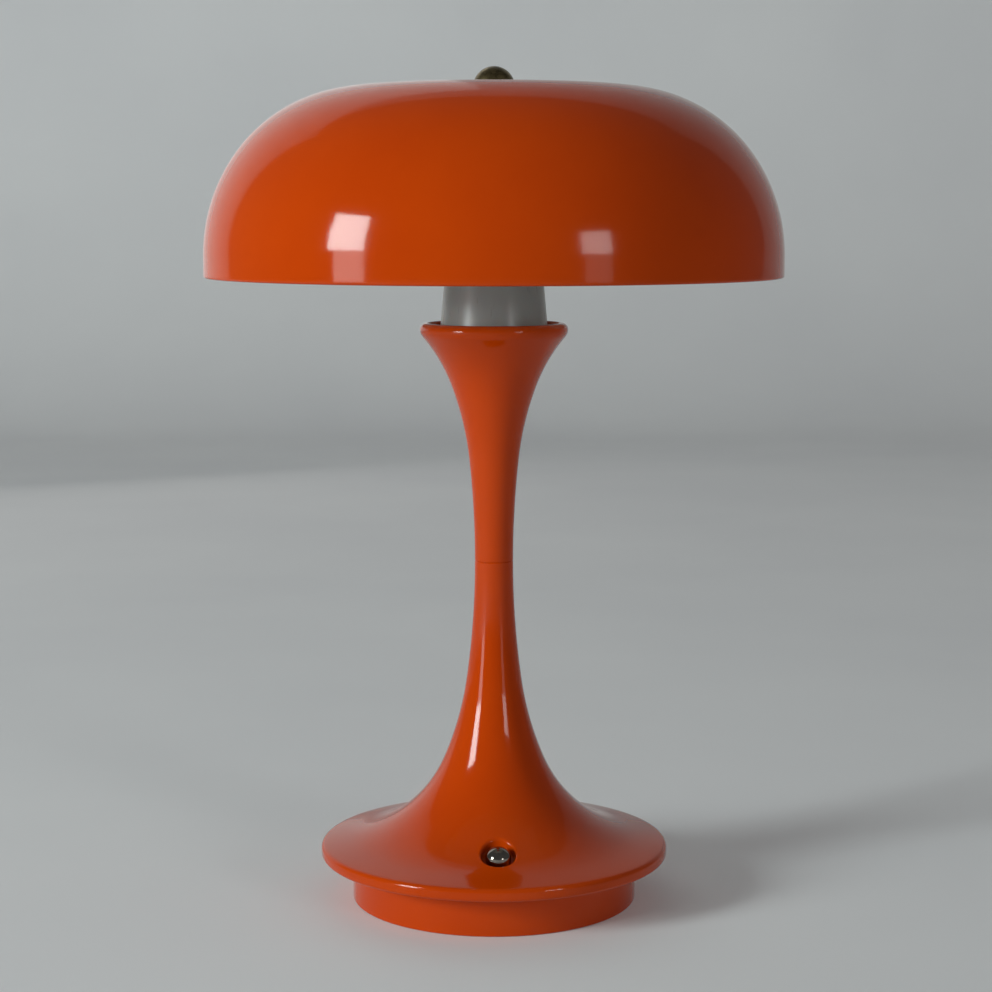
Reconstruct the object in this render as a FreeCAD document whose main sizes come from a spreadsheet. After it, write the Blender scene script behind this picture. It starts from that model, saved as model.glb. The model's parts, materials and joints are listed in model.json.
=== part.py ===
import FreeCAD, Part
import math
import os
import Sketcher

# A cordless table lamp with a domed shade, an opal tube, a waisted stem and a round foot.
# Millimetres, +Z up, origin on the table under the middle of the foot, button towards -Y.

DRIVING_SIZES = {
    # foot
    "pad_thickness": 1.3,
    "pad_edge_inset": 1.35,
    "pad_width": 11.5,
    "cover_thickness": 2.5,
    "cover_play": 0.25,
    "table_gap": 0.15,
    "plinth_radius": 55.35,
    "plinth_wall": 2.5,
    "plinth_height": 16.75,
    "plinth_edge_round": 0.4,
    "plinth_flange_thickness": 2.0,
    "plinth_ledge_width": 3.85,
    "plinth_ledge_thickness": 2.0,
    # base shell, from the rim inwards and upwards
    "rim_radius": 67.7,
    "rim_side": 3.36,
    "rim_top_round": 1.8,
    "rim_bottom_round": 1.5,
    "shell_wall": 2.5,
    "disc_slope_angle": 78.3,
    "disc_bend_radius": 52.4,
    "disc_bend_angle": 47.9,
    "flare_bend_radius": 54.5,
    "flare_bend_angle": 23.3,
    "trumpet_bend_radius": 122.8,
    "trumpet_bend_angle": 8.2,
    "neck_bend_radius": 326.1,
    "waist_radius": 7.45,
    "joint_chamfer": 0.25,
    "spigot_radius": 5.6,
    "spigot_length": 6.0,
    "spigot_play": 0.15,
    "core_seat_radius": 10.0,
    "core_seat_rise": 8.8,
    "core_top_drop": 13.0,
    # tie rod
    "rod_radius": 4.0,
    "rod_bore_radius": 2.5,
    "rod_play": 0.2,
    "anchor_thickness": 4.0,
    "washer_radius": 8.2,
    "washer_thickness": 1.2,
    "nut_width": 13.0,
    "nut_height": 6.5,
    "rod_overhang": 1.9,
    # upper stem
    "upper_bend_radius": 358.6,
    "upper_bend_angle": 6.3,
    "swell_bend_radius": 116.4,
    "swell_bend_angle": 20.6,
    "cup_bend_radius": 64.5,
    "cup_bend_angle": 40.0,
    "lip_under_radius": 4.5,
    "lip_crest_radius": 2.4,
    "lip_inner_round": 1.0,
    "cup_skin": 2.75,
    "cup_floor_radius": 13.0,
    "cup_floor_depth": 18.9,
    "cup_ledge_depth": 8.4,
    "cup_ledge_radius": 19.5,
    "cup_cone_height": 3.9,
    "floor_cone_height": 6.0,
    # light source and opal tube
    "sink_thickness": 2.0,
    "sink_play": 0.4,
    "board_thickness": 1.6,
    "led_board_radius": 17.5,
    "cable_hole_radius": 2.4,
    "chip_length": 3.5,
    "chip_width": 2.8,
    "chip_height": 0.7,
    "chip_ring_radius": 9.5,
    "led_screw_ring_radius": 14.6,
    "diffuser_flange_radius": 22.3,
    "diffuser_flange_thickness": 1.8,
    "diffuser_foot_radius": 20.8,
    "diffuser_top_radius": 13.3,
    "diffuser_height": 87.5,
    "diffuser_wall": 1.6,
    "collar_height": 2.5,
    "collar_play": 0.06,
    # shade and what holds it
    "carrier_flange_overhang": 1.2,
    "carrier_flange_thickness": 2.0,
    "carrier_plug_depth": 4.0,
    "carrier_plug_play": 0.12,
    "carrier_boss_radius": 9.0,
    "carrier_boss_height": 3.0,
    "shade_radius": 110.0,
    "shade_wall": 2.3,
    "shade_edge_round": 0.9,
    "shade_side": 7.9,
    "shade_side_bend_radius": 66.0,
    "shade_side_bend_angle": 36.1,
    "shade_shoulder_bend_radius": 60.0,
    "shade_shoulder_bend_angle": 87.0,
    "shade_seat_radius": 10.0,
    "shade_seat_height": 1.5,
    "shade_hole_play": 0.3,
    "crown_flat_radius": 8.5,
    "stud_radius": 3.0,
    "stud_reach": 3.2,
    "stud_nut_width": 10.0,
    "stud_nut_height": 5.0,
    "thread_play": 0.08,
    "finial_radius": 7.8,
    "finial_height": 6.3,
    "finial_bore_end": 0.9,
    "finial_washer_radius": 7.2,
    "finial_washer_thickness": 0.5,
    # weight and cell
    "ballast_play": 0.7,
    "ballast_thickness": 5.0,
    "ballast_screw_inset": 10.0,
    "cell_radius": 9.2,
    "cell_length": 65.0,
    "cell_offset": 12.0,
    "cell_play": 0.3,
    "cradle_floor": 1.5,
    "cradle_wall": 1.5,
    "cradle_side_height": 7.0,
    "cradle_end_height": 13.0,
    "cradle_tab_length": 6.0,
    "cradle_tab_width": 8.0,
    # boards in the foot
    "board_lift": 1.6,
    "board_pillar_radius": 2.2,
    "main_board_width": 22.0,
    "main_board_length": 21.5,
    "main_board_gap": 1.85,
    "main_screw_spread": 8.0,
    "main_screw_inset": 6.5,
    "charge_chip_width": 5.0,
    "driver_chip_width": 4.0,
    "chip_thickness": 1.0,
    "coil_width": 5.0,
    "coil_height": 2.5,
    "capacitor_radius": 2.0,
    "capacitor_height": 5.0,
    "component_pitch": 6.5,
    "port_width": 8.94,
    "port_height": 3.2,
    "port_depth": 7.3,
    "port_skin": 0.35,
    "port_tongue_width": 6.7,
    "port_inset": 0.15,
    "port_play": 0.25,
    "indicator_radius": 1.0,
    "indicator_offset": 8.0,
    "indicator_length": 5.0,
    "switch_board_width": 25.0,
    "switch_board_depth": 12.0,
    "switch_screw_spread": 9.6,
    "switch_width": 6.0,
    "switch_height": 3.5,
    "plunger_radius": 1.7,
    "plunger_reach": 0.8,
    "plunger_length": 2.3,
    "plunger_play": 0.1,
    # button
    "button_inset": 8.85,
    "button_radius": 4.8,
    "button_side": 3.9,
    "button_dome_height": 3.6,
    "button_travel": 0.8,
    "button_floor_gap": 1.3,
    "button_stem_radius": 1.8,
    "button_stem_length": 7.4,
    "button_stem_play": 0.1,
    "dimple_radius": 6.5,
    "dimple_wall": 2.0,
    "dimple_floor": 2.0,
    "dimple_edge_round": 0.9,
    "clip_radius": 3.2,
    "clip_thickness": 0.5,
    "clip_groove_depth": 0.5,
    "clip_mouth_width": 2.16,
    "running_gap": 0.1,
    "spring_radius": 3.3,
    "spring_wire_radius": 0.25,
    "spring_recess_wall": 0.5,
    "spring_recess_depth": 2.3,
    "spring_end_gap": 0.05,
    # fasteners
    "cover_screw_radius": 1.5,
    "cover_screw_head_radius": 2.8,
    "cover_screw_head_height": 1.5,
    "cover_screw_length": 11.0,
    "cover_screw_inset": 7.35,
    "cover_boss_radius": 3.3,
    "cross_recess_width": 0.7,
    "cross_recess_depth": 0.8,
    "board_screw_radius": 1.0,
    "board_screw_head_radius": 1.8,
    "board_screw_head_height": 1.4,
    "board_screw_length": 5.0,
    "screw_play": 0.05,
    # wires
    "wire_radius": 0.7,
    "led_cable_radius": 1.6,
    "cable_pad_inset": 1.0,
    "cable_corner_drop": 1.0,
    "cable_straight_length": 9.0,
    "wire_pad_inset": 1.5,
    "battery_lead_offset": 6.0,
    "battery_lead_rise": 2.0,
    "battery_lead_bulge": 3.5,
    "battery_lead_swing": 5.5,
    "battery_lead_spread": 7.0,
    "switch_lead_spread": 5.5,
    "switch_lead_end_spread": 4.0,
    "switch_lead_offset": 4.5,
    "switch_lead_drop": 3.5,
    "switch_lead_run": 10.5,
    "switch_lead_rise": 4.0,
    "switch_lead_reach": 12.0,
    "switch_lead_pass": 5.0,
    "switch_lead_landing": 8.0,
}

COVER_SCREW_COUNT = 4
BALLAST_SCREW_COUNT = 3
LED_SCREW_COUNT = 3
LED_CHIP_COUNT = 10
SPRING_TURNS = 3
OVERCUT = 1.0

doc = FreeCAD.newDocument("mushroom_table_lamp")
sheet = doc.addObject("Spreadsheet::Sheet", "Sizes")


class Size:
    """A size as its value now and as the sheet expression that gives it."""

    def __init__(self, value, text):
        self.value = value
        self.text = text

    def __add__(self, other):
        other = as_size(other)
        return Size(self.value + other.value, f"({self.text} + {other.text})")

    def __sub__(self, other):
        other = as_size(other)
        return Size(self.value - other.value, f"({self.text} - {other.text})")

    def __mul__(self, other):
        other = as_size(other)
        return Size(self.value * other.value, f"{self.text} * {other.text}")

    def __truediv__(self, other):
        other = as_size(other)
        return Size(self.value / other.value, f"({self.text} / ({other.text}))")

    def __neg__(self):
        return Size(-self.value, f"(0 - {self.text})")

    __radd__ = __add__
    __rmul__ = __mul__


def as_size(number):
    return number if isinstance(number, Size) else Size(number, repr(float(number)))


def sine(angle):
    angle = as_size(angle)
    return Size(math.sin(math.radians(angle.value)), f"sin({angle.text})")


def cosine(angle):
    angle = as_size(angle)
    return Size(math.cos(math.radians(angle.value)), f"cos({angle.text})")


def root(number):
    return Size(math.sqrt(number.value), f"sqrt({number.text})")


def larger(first, second):
    return Size(max(first.value, second.value), f"max({first.text}; {second.text})")


def fill_sheet():
    sizes = {}
    for row, (name, number) in enumerate(DRIVING_SIZES.items(), start=1):
        sheet.set(f"A{row}", name)
        sheet.set(f"B{row}", str(number))
        sheet.setAlias(f"B{row}", name)
        sizes[name] = Size(float(number), f"Sizes.{name}")
    doc.recompute()
    return sizes


SIZES = fill_sheet()


def size(name):
    return SIZES[name]


ZERO = as_size(0.0)


# ---------------------------------------------------------------- outlines and solids

class Outline:
    """A closed half section, r across and z up, made of straight runs and arcs."""

    def __init__(self, r, z):
        self.points = [(as_size(r), as_size(z))]
        self.runs = []

    def line(self, r, z):
        self.points.append((as_size(r), as_size(z)))
        self.runs.append(None)

    def arc(self, r, z, radius, turn):
        """turn is left or right, as seen when walking along the outline."""
        self.points.append((as_size(r), as_size(z)))
        self.runs.append((as_size(radius), 1.0 if turn == "left" else -1.0))

    def close(self):
        self.runs.append(None)


def arc_between(start, end, radius, side):
    """The arc from start to end, with its centre to the left (1) or right (-1)."""
    across = end - start
    half = across.Length / 2.0
    rise = math.sqrt(max(radius * radius - half * half, 0.0))
    left = FreeCAD.Vector(-across.y, across.x, 0.0).normalize()
    centre = (start + end) / 2.0 + left * rise * side
    first = math.atan2(start.y - centre.y, start.x - centre.x)
    last = math.atan2(end.y - centre.y, end.x - centre.x)
    if side < 0:
        first, last = last, first
    if last < first:
        last += 2.0 * math.pi
    circle = Part.Circle(centre, FreeCAD.Vector(0, 0, 1), radius)
    return Part.ArcOfCircle(circle, first, last)


def draw_outline(sketch, outline):
    """Draws the outline and ties each corner and radius to the sheet."""
    corners = [FreeCAD.Vector(r.value, z.value, 0.0) for r, z in outline.points]
    count = len(corners)
    starts = []
    ends = []
    for index, run in enumerate(outline.runs):
        start = corners[index]
        end = corners[(index + 1) % count]
        if run is None:
            sketch.addGeometry(Part.LineSegment(start, end))
        else:
            sketch.addGeometry(arc_between(start, end, run[0].value, run[1]))
        backwards = run is not None and run[1] < 0
        starts.append(2 if backwards else 1)
        ends.append(1 if backwards else 2)
    for index in range(count):
        following = (index + 1) % count
        sketch.addConstraint(
            Sketcher.Constraint("Coincident", index, ends[index], following, starts[following]))
    for index, (r, z) in enumerate(outline.points):
        bind_corner(sketch, "DistanceX", index, starts[index], r)
        bind_corner(sketch, "DistanceY", index, starts[index], z)
    for index, run in enumerate(outline.runs):
        if run is not None:
            number = sketch.addConstraint(Sketcher.Constraint("Radius", index, run[0].value))
            sketch.setExpression(f"Constraints[{number}]", run[0].text)


def bind_corner(sketch, kind, index, end, distance):
    number = sketch.addConstraint(
        Sketcher.Constraint(kind, -1, 1, index, end, distance.value))
    sketch.setExpression(f"Constraints[{number}]", distance.text)


def origin_plane(body, role):
    for feature in body.Origin.OriginFeatures:
        if feature.Role == role:
            return feature
    raise RuntimeError(role)


def turned(name, outline, x=ZERO, y=ZERO):
    """A body turned about the upright axis through x, y."""
    body = doc.addObject("PartDesign::Body", name)
    sketch = body.newObject("Sketcher::SketchObject", f"{name}_section")
    sketch.AttachmentSupport = (origin_plane(body, "XZ_Plane"), [""])
    sketch.MapMode = "FlatFace"
    draw_outline(sketch, outline)
    revolution = body.newObject("PartDesign::Revolution", f"{name}_turning")
    revolution.Profile = sketch
    revolution.ReferenceAxis = (sketch, ["V_Axis"])
    revolution.Angle = 360.0
    body.Tip = revolution
    body.setExpression("Placement.Base.x", as_size(x).text)
    body.setExpression("Placement.Base.y", as_size(y).text)
    return body


def place(item, x, y, z):
    item.setExpression("Placement.Base.x", as_size(x).text)
    item.setExpression("Placement.Base.y", as_size(y).text)
    item.setExpression("Placement.Base.z", as_size(z).text)


def cylinder(name, radius, height, x, y, z):
    item = doc.addObject("Part::Cylinder", name)
    item.setExpression("Radius", as_size(radius).text)
    item.setExpression("Height", as_size(height).text)
    place(item, x, y, z)
    return item


def cylinder_along_y(name, radius, length, x, y, z):
    item = cylinder(name, radius, length, x, y, z)
    item.Placement.Rotation = FreeCAD.Rotation(FreeCAD.Vector(1, 0, 0), -90)
    return item


def cylinder_along_x(name, radius, length, x, y, z):
    item = cylinder(name, radius, length, x, y, z)
    item.Placement.Rotation = FreeCAD.Rotation(FreeCAD.Vector(0, 1, 0), 90)
    return item


def cone(name, bottom_radius, top_radius, height, x, y, z):
    item = doc.addObject("Part::Cone", name)
    item.setExpression("Radius1", as_size(bottom_radius).text)
    item.setExpression("Radius2", as_size(top_radius).text)
    item.setExpression("Height", as_size(height).text)
    place(item, x, y, z)
    return item


def box(name, width, depth, height, x, y, z):
    """A box centred on x, y and standing on z."""
    item = doc.addObject("Part::Box", name)
    item.setExpression("Length", as_size(width).text)
    item.setExpression("Width", as_size(depth).text)
    item.setExpression("Height", as_size(height).text)
    place(item, x - width / 2, y - depth / 2, z)
    return item


def hexagon(name, width, height, z):
    item = doc.addObject("Part::Prism", name)
    item.Polygon = 6
    item.setExpression("Circumradius", (width / 2 / cosine(30)).text)
    item.setExpression("Height", height.text)
    place(item, ZERO, ZERO, z)
    return item


def fused(name, items):
    item = doc.addObject("Part::MultiFuse", name)
    item.Shapes = items
    return item


def cut(name, base, tools):
    item = doc.addObject("Part::Cut", name)
    item.Base = base
    item.Tool = tools[0] if len(tools) == 1 else fused(f"{name}_cuts", tools)
    return item


def group(name, items):
    item = doc.addObject("Part::Compound", name)
    item.Links = items
    return item


def ring(name, outer_radius, inner_radius, height, z):
    outer = cylinder(f"{name}_disc", outer_radius, height, ZERO, ZERO, z)
    inner = cylinder(f"{name}_bore", inner_radius, height + 2 * OVERCUT, ZERO, ZERO, z - OVERCUT)
    return cut(name, outer, [inner])


def polar(radius, angle):
    return radius * cosine(angle), radius * sine(angle)


def ring_places(radius, count, first_angle):
    return [polar(radius, first_angle + 360.0 / count * step) for step in range(count)]


def tube(name, corners, radius, bends):
    """A round wire along straight runs joined by tangent arcs."""
    edges = []
    here = corners[0]
    for index in range(1, len(corners) - 1):
        before = (corners[index] - corners[index - 1]).normalize()
        after = (corners[index + 1] - corners[index]).normalize()
        half_turn = before.getAngle(after) / 2.0
        reach = bends[index - 1] * math.tan(half_turn)
        arc_start = corners[index] - before * reach
        arc_end = corners[index] + after * reach
        inward = (after - before).normalize()
        middle = corners[index] + inward * bends[index - 1] * (1.0 / math.cos(half_turn) - 1.0)
        edges.append(Part.LineSegment(here, arc_start).toShape())
        edges.append(Part.Arc(arc_start, middle, arc_end).toShape())
        here = arc_end
    edges.append(Part.LineSegment(here, corners[-1]).toShape())
    path = Part.Wire(edges)
    section = Part.Wire([Part.makeCircle(radius, corners[0], corners[1] - corners[0])])
    solid = path.makePipeShell([section], True, False)
    expected = math.pi * radius * radius * path.Length
    print(f"{name}: tube volume {solid.Volume:.1f}, section times length {expected:.1f}")
    return solid


def shape_feature(name, shape):
    item = doc.addObject("Part::Feature", name)
    item.Shape = shape
    item.Placement = FreeCAD.Placement()
    return item


def vector(x, y, z):
    return FreeCAD.Vector(as_size(x).value, as_size(y).value, as_size(z).value)


# ---------------------------------------------------------------- levels from the table up

cover_bottom = size("pad_thickness")
cover_top = cover_bottom + size("cover_thickness")
ballast_top = cover_top + size("ballast_thickness")
board_bottom = ballast_top + size("board_lift")
board_top = board_bottom + size("board_thickness")
rim_bottom = size("table_gap") + size("plinth_height")
rim_round_level = rim_bottom + size("rim_side")
plinth_inner_radius = size("plinth_radius") - size("plinth_wall")
skirt_radius = size("rim_radius") - size("shell_wall")
pad_outer_radius = plinth_inner_radius - size("pad_edge_inset")
pad_inner_radius = pad_outer_radius - size("pad_width")
cover_screw_ring_radius = plinth_inner_radius - size("cover_screw_inset")
ballast_radius = cover_screw_ring_radius - size("cover_boss_radius") - size("ballast_play")
ballast_screw_ring_radius = pad_inner_radius - size("ballast_screw_inset")
main_board_back = plinth_inner_radius - size("main_board_gap")
main_board_front = main_board_back - size("main_board_length")
main_screw_offset = main_board_front + size("main_screw_inset")


class Bend:
    """One arc of a flared stem, from its lean at the wide end to that at the narrow end."""

    def __init__(self, radius, lean):
        self.radius = radius
        self.lean = lean
        self.centre = None
        self.start = None
        self.end = None


def flare_width(bends, last_lean=ZERO):
    """How far the chain of arcs spreads sideways."""
    width = ZERO
    for index, bend in enumerate(bends):
        following = bends[index + 1].lean if index + 1 < len(bends) else last_lean
        width = width + bend.radius * (cosine(following) - cosine(bend.lean))
    return width


def chain_up(bends, r, z):
    """Places concave arcs that lean less and less as they rise from r, z."""
    for index, bend in enumerate(bends):
        following = bends[index + 1].lean if index + 1 < len(bends) else ZERO
        bend.start = (r, z)
        bend.centre = (r + bend.radius * cosine(bend.lean), z + bend.radius * sine(bend.lean))
        r = bend.centre[0] - bend.radius * cosine(following)
        z = bend.centre[1] - bend.radius * sine(following)
        bend.end = (r, z)


BASE_BENDS = [
    Bend(size("disc_bend_radius"), size("disc_slope_angle")),
    Bend(size("flare_bend_radius"), size("disc_bend_angle")),
    Bend(size("trumpet_bend_radius"), size("flare_bend_angle")),
    Bend(size("neck_bend_radius"), size("trumpet_bend_angle")),
]
slope = size("disc_slope_angle")
slope_start_r = size("rim_radius") - size("rim_top_round") + size("rim_top_round") * cosine(slope)
slope_start_z = rim_round_level + size("rim_top_round") * sine(slope)
slope_end_r = size("waist_radius") + flare_width(BASE_BENDS)
slope_end_z = slope_start_z + (slope_start_r - slope_end_r) * cosine(slope) / sine(slope)
chain_up(BASE_BENDS, slope_end_r, slope_end_z)

joint_level = BASE_BENDS[-1].end[1] + size("joint_chamfer")
spigot_top = joint_level + size("spigot_length")
rod_hole_radius = size("rod_radius") + size("rod_play")


def inner_point(bend, lean):
    """The point of the arc's inner skin where it has this lean."""
    radius = bend.radius + size("shell_wall")
    return bend.centre[0] - radius * cosine(lean), bend.centre[1] - radius * sine(lean)


core_seat = BASE_BENDS[2].start[1] + size("core_seat_rise")
trumpet_inner_radius = BASE_BENDS[2].radius + size("shell_wall")
core_seat_drop = BASE_BENDS[2].centre[1] - core_seat
seat_outer_radius = BASE_BENDS[2].centre[0] - root(
    trumpet_inner_radius * trumpet_inner_radius - core_seat_drop * core_seat_drop)
anchor_radius = seat_outer_radius - size("cover_play")
anchor_bottom = core_seat - size("anchor_thickness")
bottom_nut_bottom = anchor_bottom - size("washer_thickness") - size("nut_height")
rod_bottom = bottom_nut_bottom - size("rod_overhang")

# upper stem: arcs that lean more and more as they rise
upper_leans = [ZERO, size("upper_bend_angle"), size("swell_bend_angle"), size("cup_bend_angle")]
upper_radii = [size("upper_bend_radius"), size("swell_bend_radius"), size("cup_bend_radius")]
upper_points = [(size("waist_radius"), joint_level + size("joint_chamfer"))]
for index, bend_radius in enumerate(upper_radii):
    upper_points.append((
        upper_points[-1][0] + bend_radius * (cosine(upper_leans[index])
                                             - cosine(upper_leans[index + 1])),
        upper_points[-1][1] + bend_radius * (sine(upper_leans[index + 1])
                                             - sine(upper_leans[index]))))
cup_bend = size("cup_bend_angle")
lip_under = size("lip_under_radius")
lip_radius = upper_points[-1][0] + lip_under - lip_under * cosine(cup_bend)
lip_side_top = upper_points[-1][1] + lip_under * sine(cup_bend)
lip_top = lip_side_top + size("lip_crest_radius")
crest_radius = lip_radius - size("lip_crest_radius")
cup_radius = crest_radius - size("lip_inner_round")
cup_floor = lip_top - size("cup_floor_depth")
ledge = lip_top - size("cup_ledge_depth")
cup_cone_top = ledge + size("cup_cone_height")
ledge_outer_radius = cup_radius - size("cup_skin")

# light source, opal tube, shade
sink_top = ledge + size("sink_thickness")
led_board_top = sink_top + size("board_thickness")
diffuser_flange_top = sink_top + size("diffuser_flange_thickness")
diffuser_top = sink_top + size("diffuser_height")
carrier_flange_top = diffuser_top + size("carrier_flange_thickness")
shade_seat = carrier_flange_top + size("carrier_boss_height")
crown_level = shade_seat + size("shade_seat_height") + size("shade_wall")
side_bend = size("shade_side_bend_radius")
side_lean = size("shade_side_bend_angle")
shoulder_bend = size("shade_shoulder_bend_radius")
shoulder_lean = size("shade_shoulder_bend_angle")
side_bend_end_r = size("shade_radius") - side_bend + side_bend * cosine(side_lean)
shoulder_centre_r = side_bend_end_r - shoulder_bend * cosine(side_lean)
shoulder_end_r = shoulder_centre_r + shoulder_bend * cosine(shoulder_lean)
crown_bend = (shoulder_end_r - size("crown_flat_radius")) / cosine(shoulder_lean)
shoulder_end_z = crown_level - crown_bend + crown_bend * sine(shoulder_lean)
shoulder_centre_z = shoulder_end_z - shoulder_bend * sine(shoulder_lean)
side_bend_end_z = shoulder_centre_z + shoulder_bend * sine(side_lean)
side_bend_level = side_bend_end_z - side_bend * sine(side_lean)
shade_rim_level = side_bend_level - size("shade_side")
stud_top = crown_level + size("finial_washer_thickness") + size("stud_reach")
finial_bottom = crown_level + size("finial_washer_thickness")
plug_bottom = diffuser_top - size("carrier_plug_depth")

# button over its switch
switch_top = board_top + size("switch_height")
plunger_top = switch_top + size("plunger_reach")
stem_bottom = plunger_top + size("running_gap")
cap_bottom = stem_bottom + size("button_stem_length")
dimple_bottom = cap_bottom - size("button_floor_gap")
dimple_underside = dimple_bottom - size("dimple_floor")
clip_top = dimple_underside - size("running_gap")
button_y = size("button_inset") - plinth_inner_radius


# ---------------------------------------------------------------- shade and its holder

def make_shade():
    wall = size("shade_wall")
    edge = size("shade_edge_round")
    outer = size("shade_radius")
    lean = side_lean
    bend = side_bend
    hole = size("stud_radius") + size("shade_hole_play")
    seat_radius = size("shade_seat_radius")
    outline = Outline(outer - edge, shade_rim_level)
    outline.arc(outer, shade_rim_level + edge, edge, "left")
    outline.line(outer, side_bend_level)
    outline.arc(side_bend_end_r, side_bend_end_z, bend, "left")
    outline.arc(shoulder_end_r, shoulder_end_z, shoulder_bend, "left")
    outline.arc(size("crown_flat_radius"), crown_level, crown_bend, "left")
    outline.line(hole, crown_level)
    outline.line(hole, shade_seat)
    outline.line(seat_radius, shade_seat)
    outline.line(seat_radius, crown_level - wall)
    outline.line(seat_radius + size("shade_seat_height"), crown_level - wall)
    outline.arc(shoulder_end_r - wall * cosine(shoulder_lean),
                shoulder_end_z - wall * sine(shoulder_lean), crown_bend - wall, "right")
    outline.arc(side_bend_end_r - wall * cosine(lean), side_bend_end_z - wall * sine(lean),
                shoulder_bend - wall, "right")
    outline.arc(outer - wall, side_bend_level, bend - wall, "right")
    outline.line(outer - wall, shade_rim_level + edge)
    outline.arc(outer - wall + edge, shade_rim_level, edge, "left")
    outline.close()
    return turned("shade", outline)


def make_finial():
    base = size("finial_radius")
    rise = size("finial_height")
    dome = (base * base + rise * rise) / (2 * rise)
    bore = size("stud_radius") + size("thread_play")
    bore_end = stud_top + size("finial_bore_end")
    outline = Outline(bore, finial_bottom)
    outline.line(base, finial_bottom)
    outline.arc(ZERO, finial_bottom + rise, dome, "left")
    outline.line(ZERO, bore_end)
    outline.line(bore, bore_end)
    outline.close()
    return turned("finial", outline)


def make_finial_washer():
    return ring("finial_washer", size("finial_washer_radius"),
                size("stud_radius") + size("thread_play"), size("finial_washer_thickness"),
                crown_level)


def make_shade_carrier():
    flange = size("diffuser_top_radius") + size("carrier_flange_overhang")
    plug = size("diffuser_top_radius") - size("diffuser_wall") - size("carrier_plug_play")
    hole = size("stud_radius") + size("thread_play")
    outline = Outline(hole, plug_bottom)
    outline.line(plug, plug_bottom)
    outline.line(plug, diffuser_top)
    outline.line(flange, diffuser_top)
    outline.line(flange, carrier_flange_top)
    outline.line(size("carrier_boss_radius"), carrier_flange_top)
    outline.line(size("carrier_boss_radius"), shade_seat)
    outline.line(hole, shade_seat)
    outline.close()
    return turned("shade_carrier", outline)


def make_shade_stud():
    stud_bottom = plug_bottom - size("stud_nut_height") - size("screw_play")
    return cylinder("shade_stud", size("stud_radius"), stud_top - stud_bottom, ZERO, ZERO,
                    stud_bottom)


def nut(name, width, height, bore_radius, z):
    body = hexagon(f"{name}_hexagon", width, height, z)
    bore = cylinder(f"{name}_bore", bore_radius, height + 2 * OVERCUT, ZERO, ZERO, z - OVERCUT)
    return cut(name, body, [bore])


def make_stud_nut():
    height = size("stud_nut_height")
    bore = size("stud_radius") + size("thread_play")
    return nut("stud_nut", size("stud_nut_width"), height, bore, plug_bottom - height)


# ---------------------------------------------------------------- opal tube and light source

def make_diffuser():
    wall = size("diffuser_wall")
    foot = size("diffuser_foot_radius")
    top = size("diffuser_top_radius")
    outline = Outline(foot - wall, sink_top)
    outline.line(size("diffuser_flange_radius"), sink_top)
    outline.line(size("diffuser_flange_radius"), diffuser_flange_top)
    outline.line(foot, diffuser_flange_top)
    outline.line(top, diffuser_top)
    outline.line(top - wall, diffuser_top)
    outline.close()
    return turned("diffuser", outline)


def make_diffuser_collar():
    inner = size("diffuser_foot_radius") + size("sink_play")
    return ring("diffuser_collar", cup_radius - size("collar_play"), inner,
                size("collar_height"), larger(diffuser_flange_top, cup_cone_top))


def make_led_heat_sink():
    return ring("led_heat_sink", ledge_outer_radius - size("sink_play"),
                size("cable_hole_radius"), size("sink_thickness"), ledge)


def make_led_board():
    disc = cylinder("led_board_disc", size("led_board_radius"), size("board_thickness"),
                    ZERO, ZERO, sink_top)
    tools = [cylinder("led_board_cable_hole", size("cable_hole_radius"),
                      size("board_thickness") + 2 * OVERCUT, ZERO, ZERO, sink_top - OVERCUT)]
    hole = size("board_screw_radius") + size("screw_play")
    for step, (x, y) in enumerate(ring_places(size("led_screw_ring_radius"),
                                              LED_SCREW_COUNT, 90.0)):
        tools.append(cylinder(f"led_board_hole_{step + 1}", hole,
                              size("board_thickness") + 2 * OVERCUT, x, y, sink_top - OVERCUT))
    return cut("led_board", disc, tools)


def make_led_chips():
    chips = []
    for step, (x, y) in enumerate(ring_places(size("chip_ring_radius"), LED_CHIP_COUNT, 0.0)):
        chips.append(box(f"led_chip_{step + 1}", size("chip_length"), size("chip_width"),
                         size("chip_height"), x, y, led_board_top))
    return group("led_chips", chips)


def make_led_board_screws():
    screws = []
    for step, (x, y) in enumerate(ring_places(size("led_screw_ring_radius"),
                                              LED_SCREW_COUNT, 90.0)):
        head = cylinder(f"led_screw_head_{step + 1}", size("board_screw_head_radius"),
                        size("board_screw_head_height"), x, y, led_board_top)
        shank = cylinder(f"led_screw_shank_{step + 1}", size("board_screw_radius"),
                         size("board_thickness"), x, y, sink_top)
        screws.append(fused(f"led_screw_{step + 1}", [head, shank]))
    return group("led_board_screws", screws)


# ---------------------------------------------------------------- stem and tie rod

def make_upper_stem():
    chamfer = size("joint_chamfer")
    waist = size("waist_radius")
    socket_radius = size("spigot_radius") + size("spigot_play")
    socket_top = spigot_top + size("spigot_play")
    floor_cone_top = cup_floor + size("floor_cone_height")
    outline = Outline(socket_radius, joint_level)
    outline.line(waist - chamfer, joint_level)
    outline.line(*upper_points[0])
    for index, bend_radius in enumerate(upper_radii):
        outline.arc(*upper_points[index + 1], bend_radius, "right")
    outline.arc(lip_radius, lip_side_top, lip_under, "left")
    outline.arc(crest_radius, lip_top, size("lip_crest_radius"), "left")
    outline.arc(cup_radius, lip_top - size("lip_inner_round"), size("lip_inner_round"), "left")
    outline.line(cup_radius, cup_cone_top)
    outline.line(ledge_outer_radius, ledge)
    outline.line(size("cup_ledge_radius"), ledge)
    outline.line(size("cup_ledge_radius"), floor_cone_top)
    outline.line(size("cup_floor_radius"), cup_floor)
    outline.line(rod_hole_radius, cup_floor)
    outline.line(rod_hole_radius, socket_top)
    outline.line(socket_radius, socket_top)
    outline.close()
    return turned("upper_stem", outline)


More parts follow.
